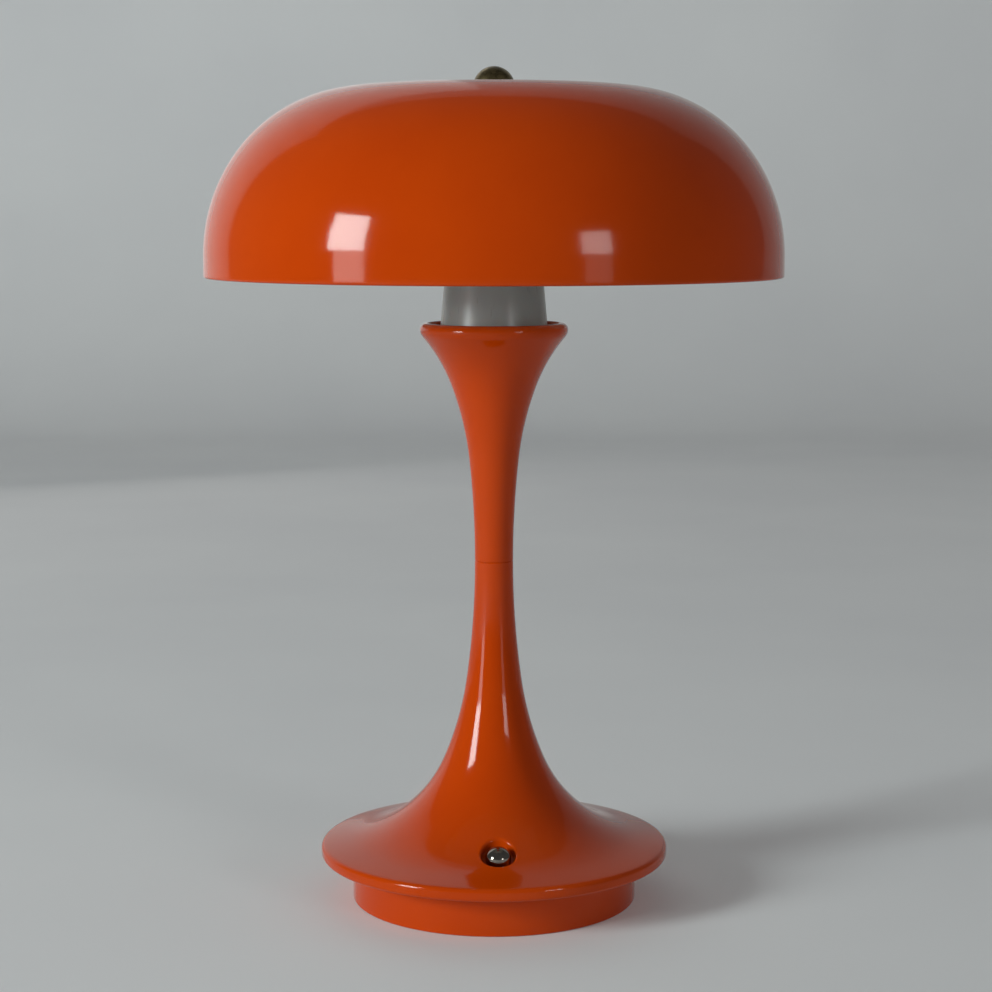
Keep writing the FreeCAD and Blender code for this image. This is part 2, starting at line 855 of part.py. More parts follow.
def make_tie_rod_set():
    washer = size("washer_thickness")
    nut_height = size("nut_height")
    overhang = size("rod_overhang")
    top_nut_bottom = cup_floor + washer
    rod_top = top_nut_bottom + nut_height + overhang
    bore = size("rod_radius") + size("screw_play")
    return [
        ring("tie_rod", size("rod_radius"), size("rod_bore_radius"), rod_top - rod_bottom,
             rod_bottom),
        ring("top_washer", size("washer_radius"), bore, washer, cup_floor),
        nut("top_nut", size("nut_width"), nut_height, bore, top_nut_bottom),
        ring("anchor_plate", anchor_radius, bore, size("anchor_thickness"), anchor_bottom),
        ring("bottom_washer", size("washer_radius"), bore, washer, anchor_bottom - washer),
        nut("bottom_nut", size("nut_width"), nut_height, bore, bottom_nut_bottom),
    ]


# ---------------------------------------------------------------- base shell

def make_shell_solid():
    """The trumpet, disc and rim as one full solid, before it is hollowed."""
    rim = size("rim_radius")
    low = size("rim_bottom_round")
    chamfer = size("joint_chamfer")
    outline = Outline(ZERO, rim_bottom)
    outline.line(rim - low, rim_bottom)
    outline.arc(rim, rim_bottom + low, low, "left")
    outline.line(rim, rim_round_level)
    outline.arc(slope_start_r, slope_start_z, size("rim_top_round"), "left")
    outline.line(slope_end_r, slope_end_z)
    for bend in BASE_BENDS:
        outline.arc(*bend.end, bend.radius, "right")
    outline.line(size("waist_radius") - chamfer, joint_level)
    outline.line(size("spigot_radius"), joint_level)
    outline.line(size("spigot_radius"), spigot_top)
    outline.line(ZERO, spigot_top)
    outline.close()
    return turned("base_shell_solid", outline)


def make_shell_hollow():
    """The space under the disc and up the trumpet, with the tie rod's hole above it."""
    slope_in_r, slope_in_z = inner_point(BASE_BENDS[0], slope)
    skirt_top = slope_in_z - (skirt_radius - slope_in_r) * cosine(slope) / sine(slope)
    core_top = joint_level - size("core_top_drop")
    outline = Outline(ZERO, rim_bottom - OVERCUT)
    outline.line(skirt_radius, rim_bottom - OVERCUT)
    outline.line(skirt_radius, skirt_top)
    outline.line(slope_in_r, slope_in_z)
    for index in range(2):
        inner_end = inner_point(BASE_BENDS[index], BASE_BENDS[index + 1].lean)
        outline.arc(*inner_end, BASE_BENDS[index].radius + size("shell_wall"), "right")
    outline.arc(seat_outer_radius, core_seat, trumpet_inner_radius, "right")
    outline.line(size("core_seat_radius"), core_seat)
    outline.line(size("waist_radius") - size("shell_wall"), core_top)
    outline.line(rod_hole_radius, core_top)
    outline.line(rod_hole_radius, spigot_top + OVERCUT)
    outline.line(ZERO, spigot_top + OVERCUT)
    outline.close()
    return turned("base_shell_hollow", outline)


def pillar_places():
    """Where the shell carries the cover screws and the two boards.

    Each place is x, y, radius of the pillar, level of its underside, radius of its hole.
    """
    cover_hole = size("cover_screw_radius") + size("screw_play")
    board_hole = size("board_screw_radius") + size("screw_play")
    places = []
    for x, y in cover_screw_places():
        places.append((x, y, size("cover_boss_radius"), cover_top, cover_hole))
    for side in (-1, 1):
        places.append((side * size("main_screw_spread"), main_screw_offset,
                       size("board_pillar_radius"), board_top, board_hole))
        places.append((side * size("switch_screw_spread"), button_y,
                       size("board_pillar_radius"), board_top, board_hole))
    return places


def make_base_shell():
    pillar_top = joint_level
    stubs = [make_shell_solid()]
    pillars = []
    holes = []
    for step, (x, y, radius, bottom, hole) in enumerate(pillar_places(), start=1):
        stubs.append(cylinder(f"pillar_stub_{step}", radius,
                              rim_bottom + OVERCUT - bottom, x, y, bottom))
        pillars.append(cylinder(f"pillar_{step}", radius, pillar_top - bottom, x, y, bottom))
        holes.append(cylinder(f"pillar_hole_{step}", hole, size("cover_screw_length"), x, y,
                              bottom - OVERCUT))
    dimple = size("dimple_radius")
    pillars.append(cylinder("dimple_cup", dimple + size("dimple_wall"),
                            pillar_top - dimple_underside, ZERO, button_y, dimple_underside))
    hollow = cut("base_shell_space", make_shell_hollow(), pillars)
    stem_hole = size("button_stem_radius") + size("button_stem_play")
    holes.append(cylinder("dimple_stem_hole", stem_hole,
                          size("dimple_floor") + 2 * OVERCUT, ZERO, button_y,
                          dimple_underside - OVERCUT))
    holes.append(cylinder("dimple_well", dimple, pillar_top - dimple_bottom, ZERO, button_y,
                          dimple_bottom))
    shell = cut("base_shell_sharp", fused("base_shell_full", stubs), [hollow] + holes)
    doc.recompute()
    rounded = doc.addObject("Part::Fillet", "base_shell")
    rounded.Base = shell
    edge_round = size("dimple_edge_round").value
    rounded.Edges = [(number, edge_round, edge_round) for number in dimple_edges(shell.Shape)]
    return rounded


def dimple_edges(shape):
    """The upper edge of the dimple: on its wall and above its floor."""
    radius = size("dimple_radius").value
    floor = dimple_bottom.value
    numbers = []
    for number, edge in enumerate(shape.Edges, start=1):
        on_wall = all(abs(math.hypot(p.x, p.y - button_y.value) - radius) < 0.01
                      for p in edge.discretize(9))
        upright = edge.BoundBox.XLength + edge.BoundBox.YLength < radius
        if on_wall and not upright and edge.BoundBox.ZMin > floor + 0.5:
            numbers.append(number)
    return numbers


# ---------------------------------------------------------------- plinth, cover, weight

def make_plinth():
    outer = size("plinth_radius")
    edge = size("plinth_edge_round")
    bottom = size("table_gap")
    flange_radius = skirt_radius - size("cover_play")
    flange_top = rim_bottom + size("plinth_flange_thickness") - size("screw_play")
    ledge_radius = plinth_inner_radius - size("plinth_ledge_width")
    ledge_top = cover_top + size("plinth_ledge_thickness")
    outline = Outline(plinth_inner_radius, bottom)
    outline.line(outer - edge, bottom)
    outline.arc(outer, bottom + edge, edge, "left")
    outline.line(outer, rim_bottom)
    outline.line(flange_radius, rim_bottom)
    outline.line(flange_radius, flange_top)
    outline.line(plinth_inner_radius, flange_top)
    outline.line(plinth_inner_radius, ledge_top)
    outline.line(ledge_radius, ledge_top)
    outline.line(ledge_radius, cover_top)
    outline.line(plinth_inner_radius, cover_top)
    outline.close()
    slot_width = size("port_width") + 2 * size("port_play")
    slot_height = size("port_height") + 2 * size("port_play")
    slot_z = board_top - size("port_play")
    slot_depth = size("plinth_wall") + 2 * OVERCUT
    middle = size("plinth_radius") - size("plinth_wall") / 2
    flat_width = slot_width - slot_height
    start_y = middle - slot_depth / 2
    tools = [box("port_slot_middle", flat_width, slot_depth, slot_height, ZERO, middle, slot_z)]
    for side, end in ((-1, "left"), (1, "right")):
        tools.append(cylinder_along_y(f"port_slot_{end}", slot_height / 2, slot_depth,
                                      side * flat_width / 2, start_y, slot_z + slot_height / 2))
    tools.append(cylinder_along_y("indicator_hole",
                                  size("indicator_radius") + size("running_gap"), slot_depth,
                                  size("indicator_offset"), start_y - OVERCUT, indicator_level))
    return cut("plinth", turned("plinth_ring", outline), tools)


def cover_screw_places():
    return ring_places(cover_screw_ring_radius, COVER_SCREW_COUNT, 45.0)


def ballast_screw_places():
    return ring_places(ballast_screw_ring_radius, BALLAST_SCREW_COUNT, 90.0)


def make_bottom_cover():
    disc = cylinder("bottom_cover_disc", plinth_inner_radius - size("cover_play"),
                    size("cover_thickness"), ZERO, ZERO, cover_bottom)
    tools = []
    for step, (x, y) in enumerate(cover_screw_places() + ballast_screw_places(), start=1):
        tools.append(cylinder(f"cover_hole_{step}",
                              size("cover_screw_radius") + size("screw_play"),
                              size("cover_thickness") + 2 * OVERCUT, x, y,
                              cover_bottom - OVERCUT))
        tools.append(cone(f"cover_countersink_{step}",
                          size("cover_screw_head_radius") + size("screw_play"),
                          size("cover_screw_radius") + size("screw_play"),
                          size("cover_screw_head_height"), x, y, cover_bottom))
    return cut("bottom_cover", disc, tools)


def make_foot_pad():
    height = size("pad_thickness")
    disc = cylinder("foot_pad_disc", pad_outer_radius, height, ZERO, ZERO, ZERO)
    tools = [cylinder("foot_pad_bore", pad_inner_radius, height + 2 * OVERCUT,
                      ZERO, ZERO, ZERO - OVERCUT)]
    for step, (x, y) in enumerate(cover_screw_places(), start=1):
        tools.append(cylinder(f"foot_pad_hole_{step}", size("cover_boss_radius"),
                              height + 2 * OVERCUT, x, y, ZERO - OVERCUT))
    return cut("foot_pad", disc, tools)


def countersunk_screw(name, length, x, y):
    head = cone(f"{name}_head", size("cover_screw_head_radius"), size("cover_screw_radius"),
                size("cover_screw_head_height"), x, y, cover_bottom)
    shank = cylinder(f"{name}_shank", size("cover_screw_radius"), length, x, y, cover_bottom)
    depth = size("cross_recess_depth")
    arm = size("cover_screw_head_radius")
    narrow = size("cross_recess_width")
    cross = [box(f"{name}_cross_a", arm, narrow, depth, x, y, cover_bottom),
             box(f"{name}_cross_b", narrow, arm, depth, x, y, cover_bottom)]
    return cut(name, fused(f"{name}_blank", [head, shank]), cross)


def make_cover_screws():
    screws = []
    for step, (x, y) in enumerate(cover_screw_places(), start=1):
        screws.append(countersunk_screw(f"cover_screw_{step}", size("cover_screw_length"), x, y))
    return group("cover_screws", screws)


def make_ballast_screws():
    length = size("cover_thickness") + size("ballast_thickness")
    screws = []
    for step, (x, y) in enumerate(ballast_screw_places(), start=1):
        screws.append(countersunk_screw(f"ballast_screw_{step}", length, x, y))
    return group("ballast_screws", screws)


def make_ballast_disc():
    height = size("ballast_thickness")
    disc = cylinder("ballast_blank", ballast_radius, height, ZERO, ZERO, cover_top)
    tools = []
    for step, (x, y) in enumerate(ballast_screw_places(), start=1):
        tools.append(cylinder(f"ballast_hole_{step}",
                              size("cover_screw_radius") + size("screw_play"),
                              height + 2 * OVERCUT, x, y, cover_top - OVERCUT))
    return cut("ballast_disc", disc, tools)


# ---------------------------------------------------------------- cell and its cradle

cell_level = ballast_top + size("cradle_floor") + size("cell_radius")


def make_battery_cell():
    cell = cylinder_along_x("battery_cell", size("cell_radius"), size("cell_length"),
                            ZERO - size("cell_length") / 2, size("cell_offset"), cell_level)
    return cell


def make_battery_cradle():
    wall = size("cradle_wall")
    play = size("cell_play")
    width = size("cell_length") + 2 * play + 2 * wall
    depth = 2 * size("cell_radius") + 2 * play + 2 * wall
    y = size("cell_offset")
    tray = box("cradle_tray", width, depth, size("cradle_side_height"), ZERO, y, ballast_top)
    parts = [tray]
    end_x = width / 2 - wall / 2
    for side, end in ((-1, "left"), (1, "right")):
        parts.append(box(f"cradle_end_{end}", wall, size("cradle_tab_width"),
                         size("cradle_end_height"), side * end_x, y, ballast_top))
        parts.append(box(f"cradle_tab_{end}", 2 * size("cradle_tab_length"),
                         size("cradle_tab_width"), size("cradle_floor"),
                         side * width / 2, y, ballast_top))
    trough_length = size("cell_length") + 2 * play
    tools = [cylinder_along_x("cradle_trough", size("cell_radius") + size("screw_play"),
                              trough_length, ZERO - trough_length / 2, y,
                              cell_level)]
    hole = size("board_screw_radius") + size("screw_play")
    for step, x in enumerate(cradle_screw_places(), start=1):
        tools.append(cylinder(f"cradle_hole_{step}", hole,
                              size("cradle_floor") + 2 * OVERCUT, x, y, ballast_top - OVERCUT))
    return cut("battery_cradle", fused("cradle_blank", parts), tools)


def cradle_screw_places():
    reach = (size("cell_length") / 2 + size("cell_play") + size("cradle_wall")
             + size("cradle_tab_length") / 2)
    return [-reach, reach]


def make_cradle_screws():
    screws = []
    for step, x in enumerate(cradle_screw_places(), start=1):
        y = size("cell_offset")
        head = cylinder(f"cradle_screw_head_{step}", size("board_screw_head_radius"),
                        size("board_screw_head_height"), x, y,
                        ballast_top + size("cradle_floor"))
        shank = cylinder(f"cradle_screw_shank_{step}", size("board_screw_radius"),
                         size("cradle_floor"), x, y, ballast_top)
        screws.append(fused(f"cradle_screw_{step}", [head, shank]))
    return group("cradle_screws", screws)


# ---------------------------------------------------------------- boards, inlet and switch

indicator_level = board_top + size("indicator_radius") + size("screw_play")
port_face = size("plinth_radius") - size("port_inset")


def board_with_holes(name, width, depth, y, hole_x, hole_y):
    board = box(f"{name}_blank", width, depth, size("board_thickness"), ZERO, y, board_bottom)
    hole = size("board_screw_radius") + size("screw_play")
    tools = []
    for side, end in ((-1, "left"), (1, "right")):
        tools.append(cylinder(f"{name}_hole_{end}", hole,
                              size("board_thickness") + 2 * OVERCUT, side * hole_x, hole_y,
                              board_bottom - OVERCUT))
    return cut(name, board, tools)


def board_screws(name, screw_x, screw_y):
    screws = []
    for side, end in ((-1, "left"), (1, "right")):
        head = cylinder(f"{name}_head_{end}", size("board_screw_head_radius"),
                        size("board_screw_head_height"), side * screw_x, screw_y,
                        board_bottom - size("board_screw_head_height"))
        shank = cylinder(f"{name}_shank_{end}", size("board_screw_radius"),
                         size("board_screw_length"), side * screw_x, screw_y, board_bottom)
        screws.append(fused(f"{name}_{end}", [head, shank]))
    return group(name, screws)


def make_main_board_set():
    middle = (main_board_front + main_board_back) / 2
    spread = size("main_screw_spread")
    charge_width = size("charge_chip_width")
    driver_width = size("driver_chip_width")
    second_row = main_screw_offset + size("component_pitch")
    chips = [
        box("charge_chip", charge_width, charge_width, size("chip_thickness"), ZERO,
            main_screw_offset, board_top),
        box("driver_chip", driver_width, driver_width, size("chip_thickness"), ZERO,
            second_row, board_top),
        box("driver_coil", size("coil_width"), size("coil_width"), size("coil_height"),
            spread, second_row, board_top),
        cylinder("input_capacitor", size("capacitor_radius"), size("capacitor_height"),
                 -spread, second_row, board_top),
    ]
    return [
        board_with_holes("main_board", size("main_board_width"), size("main_board_length"),
                         middle, spread, main_screw_offset),
        board_screws("main_board_screws", spread, main_screw_offset),
        group("board_components", chips),
        make_charge_port(),
        cylinder_along_y("charge_indicator", size("indicator_radius"),
                         size("indicator_length"), size("indicator_offset"),
                         port_face - size("indicator_length") - size("table_gap"),
                         indicator_level),
    ]


def rounded_bar(name, width, height, depth, y, z):
    """A bar along Y with half round sides, standing on z and centred on x."""
    flat = width - height
    parts = [box(f"{name}_middle", flat, depth, height, ZERO, y + depth / 2, z)]
    for side, end in ((-1, "left"), (1, "right")):
        parts.append(cylinder_along_y(f"{name}_{end}", height / 2, depth, side * flat / 2, y,
                                      z + height / 2))
    return fused(name, parts)


def make_charge_port():
    skin = size("port_skin")
    depth = size("port_depth")
    start = port_face - depth
    shell = rounded_bar("port_shell", size("port_width"), size("port_height"), depth, start,
                        board_top)
    mouth = rounded_bar("port_mouth", size("port_width") - 2 * skin,
                        size("port_height") - 2 * skin, depth, start + 2 * skin,
                        board_top + skin)
    tongue_height = size("port_skin") * 2
    tongue = box("port_tongue", size("port_tongue_width"), depth - 3 * skin, tongue_height,
                 ZERO, start + (depth - 3 * skin) / 2,
                 board_top + size("port_height") / 2 - tongue_height / 2)
    return fused("charge_port", [cut("port_can", shell, [mouth]), tongue])


def make_switch_set():
    width = size("switch_width")
    plunger_bottom = plunger_top - size("plunger_length")
    well_bottom = plunger_bottom - size("button_travel") - size("running_gap")
    body = box("switch_block", width, width, size("switch_height"), ZERO, button_y, board_top)
    well = cylinder("switch_well", size("plunger_radius") + size("plunger_play"),
                    switch_top + OVERCUT - well_bottom, ZERO, button_y, well_bottom)
    return [
        board_with_holes("switch_board", size("switch_board_width"),
                         size("switch_board_depth"), button_y, size("switch_screw_spread"),
                         button_y),
        board_screws("switch_board_screws", size("switch_screw_spread"), button_y),
        cut("switch_body", body, [well]),
        cylinder("switch_plunger", size("plunger_radius"), size("plunger_length"), ZERO,
                 button_y, plunger_bottom),
    ]


# ---------------------------------------------------------------- button

def make_button_cap():
    radius = size("button_radius")
    stem = size("button_stem_radius")
    groove = stem - size("clip_groove_depth")
    groove_top = clip_top + size("screw_play")
    groove_bottom = clip_top - size("clip_thickness") - size("screw_play")
    recess_outer = radius - size("spring_recess_wall")
    recess_top = cap_bottom + size("spring_recess_depth")
    side_top = cap_bottom + size("button_side")
    dome_height = size("button_dome_height")
    dome_radius = (radius * radius + dome_height * dome_height) / (dome_height * 2.0)
    recess_inner = stem + size("spring_recess_wall")
    outline = Outline(ZERO, stem_bottom)
    outline.line(stem, stem_bottom)
    outline.line(stem, groove_bottom)
    outline.line(groove, groove_bottom)
    outline.line(groove, groove_top)
    outline.line(stem, groove_top)
    outline.line(stem, cap_bottom)
    outline.line(recess_inner, cap_bottom)
    outline.line(recess_inner, recess_top)
    outline.line(recess_outer, recess_top)
    outline.line(recess_outer, cap_bottom)
    outline.line(radius, cap_bottom)
    outline.line(radius, side_top)
    outline.arc(ZERO, side_top + dome_height, dome_radius, "left")
    outline.close()
    return turned("button_cap", outline, ZERO, button_y)


def make_button_clip():
    thickness = size("clip_thickness")
    bottom = clip_top - thickness
    hole = size("button_stem_radius") - size("clip_groove_depth") + size("screw_play")
    disc = cylinder("button_clip_disc", size("clip_radius"), thickness, ZERO, button_y, bottom)
    bore = cylinder("button_clip_bore", hole, thickness + 2 * OVERCUT, ZERO, button_y,
                    bottom - OVERCUT)
    mouth = box("button_clip_mouth", size("clip_mouth_width"), size("clip_radius") + OVERCUT,
                thickness + 2 * OVERCUT, ZERO,
                button_y - (size("clip_radius") + OVERCUT) / 2, bottom - OVERCUT)
    return cut("button_clip", disc, [bore, mouth])


def make_button_spring():
    """A round wire wound up from the dimple's floor to the recess in the cap."""
    wire = size("spring_wire_radius").value
    radius = size("spring_radius").value
    end_gap = size("spring_end_gap").value
    bottom = dimple_bottom.value + wire + end_gap
    top = cap_bottom.value + size("spring_recess_depth").value - wire - end_gap
    quarters = SPRING_TURNS * 4

    def on_helix(share):
        angle = 2.0 * math.pi * SPRING_TURNS * share
        return FreeCAD.Vector(radius * math.cos(angle), button_y.value + radius * math.sin(angle),
                              bottom + (top - bottom) * share)

    edges = []
    for step in range(quarters):
        ends = (on_helix(step / quarters), on_helix((step + 0.5) / quarters),
                on_helix((step + 1) / quarters))
        edges.append(Part.Arc(*ends).toShape())
    path = Part.Wire(edges)
    section = Part.Wire([Part.makeCircle(wire, on_helix(0.0), edges[0].tangentAt(0.0))])
    gap = (top - bottom) / SPRING_TURNS - 2.0 * wire
    print(f"button_spring: least gap between its turns {gap:.2f}")
    return shape_feature("button_spring", path.makePipeShell([section], True, False))


# ---------------------------------------------------------------- held wires

def make_led_cable():
    """From the main board over the cell and up the bore of the tie rod to the light source."""
    radius = size("led_cable_radius").value
    y = main_board_front + size("cable_pad_inset")
    corner = cell_level + size("cell_radius") - size("cable_corner_drop")
    route = [
        vector(ZERO, y, board_top),
        vector(ZERO, y, corner),
        vector(ZERO, ZERO, rod_bottom - size("cable_straight_length")),
        vector(ZERO, ZERO, led_board_top),
    ]
    return shape_feature("led_cable", tube("led_cable", route, radius,
                                           [5.0 * radius, 8.0 * radius]))


def make_battery_leads():
    """One wire from each end of the cell to the main board."""
    wire = size("wire_radius").value
    end = size("cell_length") / 2
    y = size("cell_offset") + size("battery_lead_offset")
    far_y = y + size("battery_lead_swing")
    pad_y = main_board_front + size("wire_pad_inset")
    level = cell_level + size("battery_lead_rise")
    spread = size("battery_lead_spread")
    leads = []
    for side in (-1, 1):
        route = [
            vector(side * end, y, level),
            vector(side * (end + size("battery_lead_bulge")), y, level),
            vector(side * end, far_y, level),
            vector(side * spread, pad_y, level),
            vector(side * spread, pad_y, board_top),
        ]
        leads.append(tube("battery_lead", route, wire, [1.6 * wire, 3.0 * wire, 4.0 * wire]))
    return shape_feature("battery_leads", Part.makeCompound(leads))


def make_switch_leads():
    """Two wires from the switch board, under the dimple and over the cell to the main board."""
    wire = size("wire_radius").value
    bend = 5.0 * wire
    spread = size("switch_lead_spread")
    end_spread = size("switch_lead_end_spread")
    y = button_y + size("switch_lead_offset")
    pad_y = main_board_front + size("wire_pad_inset")
    low = dimple_underside - size("switch_lead_drop")
    high = cell_level + size("cell_radius") + size("switch_lead_rise")
    leads = []
    for side in (-1, 1):
        route = [
            vector(side * spread, y, board_top),
            vector(side * spread, y, low),
            vector(side * spread, y + size("switch_lead_run"), low),
            vector(side * spread, size("cell_offset") - size("switch_lead_reach"), high),
            vector(side * spread, size("cell_offset") + size("switch_lead_pass"), high),
            vector(side * end_spread, pad_y, board_top + size("switch_lead_landing")),
            vector(side * end_spread, pad_y, board_top),
        ]
        leads.append(tube("switch_lead", route, wire, [3.0 * wire, bend, bend, bend, bend]))
    return shape_feature("switch_leads", Part.makeCompound(leads))


# ---------------------------------------------------------------- the whole lamp

def make_lamp():
    parts = [
        make_shade(), make_finial(), make_finial_washer(), make_shade_carrier(),
        make_shade_stud(), make_stud_nut(), make_diffuser(), make_diffuser_collar(),
        make_led_heat_sink(), make_led_board(), make_led_chips(), make_led_board_screws(),
        make_upper_stem(), make_base_shell(), make_plinth(), make_bottom_cover(),
        make_foot_pad(), make_cover_screws(), make_ballast_disc(), make_ballast_screws(),
        make_battery_cell(), make_battery_cradle(), make_cradle_screws(), make_button_cap(),
        make_button_clip(), make_button_spring(), make_led_cable(), make_battery_leads(),
        make_switch_leads(),
    ]
    parts += make_tie_rod_set()
    parts += make_main_board_set()
    parts += make_switch_set()
    return parts


def check_document(parts):
    for item in doc.Objects:
        if "Invalid" in item.State or "Error" in item.State:
            raise RuntimeError(f"{item.Label} failed: {item.State}")
    for item in parts:
        if item.Shape.isNull() or not item.Shape.isValid():
            raise RuntimeError(f"{item.Label} has no valid shape")


def write_parts(parts):
    os.makedirs("parts", exist_ok=True)
    for item in parts:
        item.Shape.exportStep(f"parts/{item.Label}.step")
        print(f"{item.Label}: {len(item.Shape.Solids)} solid(s), {item.Shape.Volume:.1f} mm3")


lamp = make_lamp()
doc.recompute()
check_document(lamp)
write_parts(lamp)
whole = Part.makeCompound([item.Shape for item in lamp])
print(f"box {whole.BoundBox}")
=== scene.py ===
import json
import math

import bpy
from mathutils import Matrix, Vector

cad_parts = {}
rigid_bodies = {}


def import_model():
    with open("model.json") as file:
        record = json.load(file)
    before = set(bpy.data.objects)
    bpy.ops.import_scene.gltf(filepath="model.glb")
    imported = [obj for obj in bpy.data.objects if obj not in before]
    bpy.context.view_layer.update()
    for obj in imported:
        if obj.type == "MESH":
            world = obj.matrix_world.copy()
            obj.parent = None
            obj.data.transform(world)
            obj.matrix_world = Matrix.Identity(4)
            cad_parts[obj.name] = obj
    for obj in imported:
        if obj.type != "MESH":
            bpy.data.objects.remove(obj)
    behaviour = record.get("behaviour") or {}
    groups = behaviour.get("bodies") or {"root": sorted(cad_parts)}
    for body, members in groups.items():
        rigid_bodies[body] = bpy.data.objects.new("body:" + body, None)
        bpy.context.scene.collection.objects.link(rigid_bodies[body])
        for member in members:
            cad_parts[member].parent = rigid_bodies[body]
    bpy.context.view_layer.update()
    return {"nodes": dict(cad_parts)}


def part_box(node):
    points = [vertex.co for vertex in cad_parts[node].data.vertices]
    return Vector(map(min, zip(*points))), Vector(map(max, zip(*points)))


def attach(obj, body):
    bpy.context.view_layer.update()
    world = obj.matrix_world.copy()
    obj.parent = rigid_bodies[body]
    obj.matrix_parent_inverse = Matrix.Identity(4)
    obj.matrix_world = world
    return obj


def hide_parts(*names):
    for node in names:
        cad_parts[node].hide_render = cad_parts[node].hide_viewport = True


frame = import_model()

MM = 0.001
AROUND = 256            # steps round a large turned piece
AROUND_SMALL = 128      # steps round a small one
ARC_STEP = 1.4 * MM     # longest step along an arc
FINE_STEP = 0.3 * MM    # longest step along a rolled edge
ARC_TURN = 9.0          # most degrees that one step of an arc turns
WELD = 2e-7             # points closer than this are one

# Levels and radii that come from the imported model
SHADE_LOW, SHADE_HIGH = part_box("shade")
STEM_LOW, STEM_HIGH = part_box("upper_stem")
BASE_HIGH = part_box("base_shell")[1]
PLINTH_LOW, PLINTH_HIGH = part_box("plinth")
TUBE_LOW, TUBE_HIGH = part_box("diffuser")
COLLAR_LOW, COLLAR_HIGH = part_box("diffuser_collar")
CARRIER_LOW, CARRIER_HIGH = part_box("shade_carrier")
FINIAL_LOW, FINIAL_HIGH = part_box("finial")
BUTTON_LOW, BUTTON_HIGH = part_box("button_cap")
PORT_LOW, PORT_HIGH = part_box("charge_port")
PIPE_LOW, PIPE_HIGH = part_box("charge_indicator")


# ---------------------------------------------------------------- modelling by hand

def clear_selection():
    for item in bpy.context.view_layer.objects:
        item.select_set(False)


def take(piece):
    """Makes the piece the only one selected and the active one."""
    clear_selection()
    piece.select_set(True)
    bpy.context.view_layer.objects.active = piece


def edit(piece):
    take(piece)
    bpy.ops.object.mode_set(mode="EDIT")


def leave():
    bpy.ops.object.mode_set(mode="OBJECT")


def settle(piece):
    """Puts the piece's place into its mesh."""
    take(piece)
    bpy.ops.object.transform_apply(location=True, rotation=True, scale=True)


def smooth(piece, degrees=32.0):
    take(piece)
    bpy.ops.object.shade_smooth_by_angle(angle=math.radians(degrees))


def pick(piece, chosen, kind="FACE"):
    """Selects what chosen is true for, and stays in edit mode.

    chosen gets a face's middle and normal, an edge's two ends or a point's place.
    """
    edit(piece)
    bpy.ops.mesh.select_mode(type=kind)
    bpy.ops.mesh.select_all(action="DESELECT")
    leave()
    mesh = piece.data
    if kind == "FACE":
        for face in mesh.polygons:
            face.select = chosen(face.center, face.normal)
    elif kind == "EDGE":
        for edge in mesh.edges:
            a, b = (mesh.vertices[number].co for number in edge.vertices)
            edge.select = chosen(a, b)
    else:
        for point in mesh.vertices:
            point.select = chosen(point.co)
    edit(piece)


def pull(x, y, z):
    """Extrudes what is selected by one step."""
    bpy.ops.mesh.extrude_region_move(TRANSFORM_OT_translate={"value": (x, y, z)})


def widen(ratio, centre):
    """Scales what is selected in plan about centre."""
    bpy.ops.transform.resize(value=(ratio, ratio, 1.0), center_override=centre)


def apply(piece, kind, name, **settings):
    take(piece)
    modifier = piece.modifiers.new(name, kind)
    for key, value in settings.items():
        setattr(modifier, key, value)
    bpy.ops.object.modifier_apply(modifier=modifier.name)


class Section:
    """Half of a turned piece's section: a walk of straight runs and tangent arcs."""

    def __init__(self, r, z, heading):
        self.r = r
        self.z = z
        self.heading = math.radians(heading)
        self.points = [(r, z)]

    def go(self, length, steps=1):
        """A straight run in the direction of the heading."""
        for _ in range(steps):
            self.r += math.cos(self.heading) * length / steps
            self.z += math.sin(self.heading) * length / steps
            self.points.append((self.r, self.z))

    def turn(self, degrees):
        self.heading += math.radians(degrees)

    def curve(self, radius, degrees, step=ARC_STEP):
        """An arc that turns left by degrees, or right where degrees is below zero."""
        side = 1.0 if degrees > 0 else -1.0
        angle = math.radians(abs(degrees))
        count = max(math.ceil(angle * radius / step), math.ceil(abs(degrees) / ARC_TURN), 2)
        centre_r = self.r - side * radius * math.sin(self.heading)
        centre_z = self.z + side * radius * math.cos(self.heading)
        start = self.heading
        for number in range(1, count + 1):
            self.heading = start + side * angle * number / count
            self.r = centre_r + side * radius * math.sin(self.heading)
            self.z = centre_z - side * radius * math.cos(self.heading)
            self.points.append((self.r, self.z))

    def to(self, r, z, steps=1):
        """A straight run to a stated point."""
        start_r, start_z = self.r, self.z
        for number in range(1, steps + 1):
            share = number / steps
            self.points.append((start_r + (r - start_r) * share,
                                start_z + (z - start_z) * share))
        self.r, self.z = r, z
        self.heading = math.atan2(z - start_z, r - start_r)

    def close(self):
        self.to(*self.points[0])


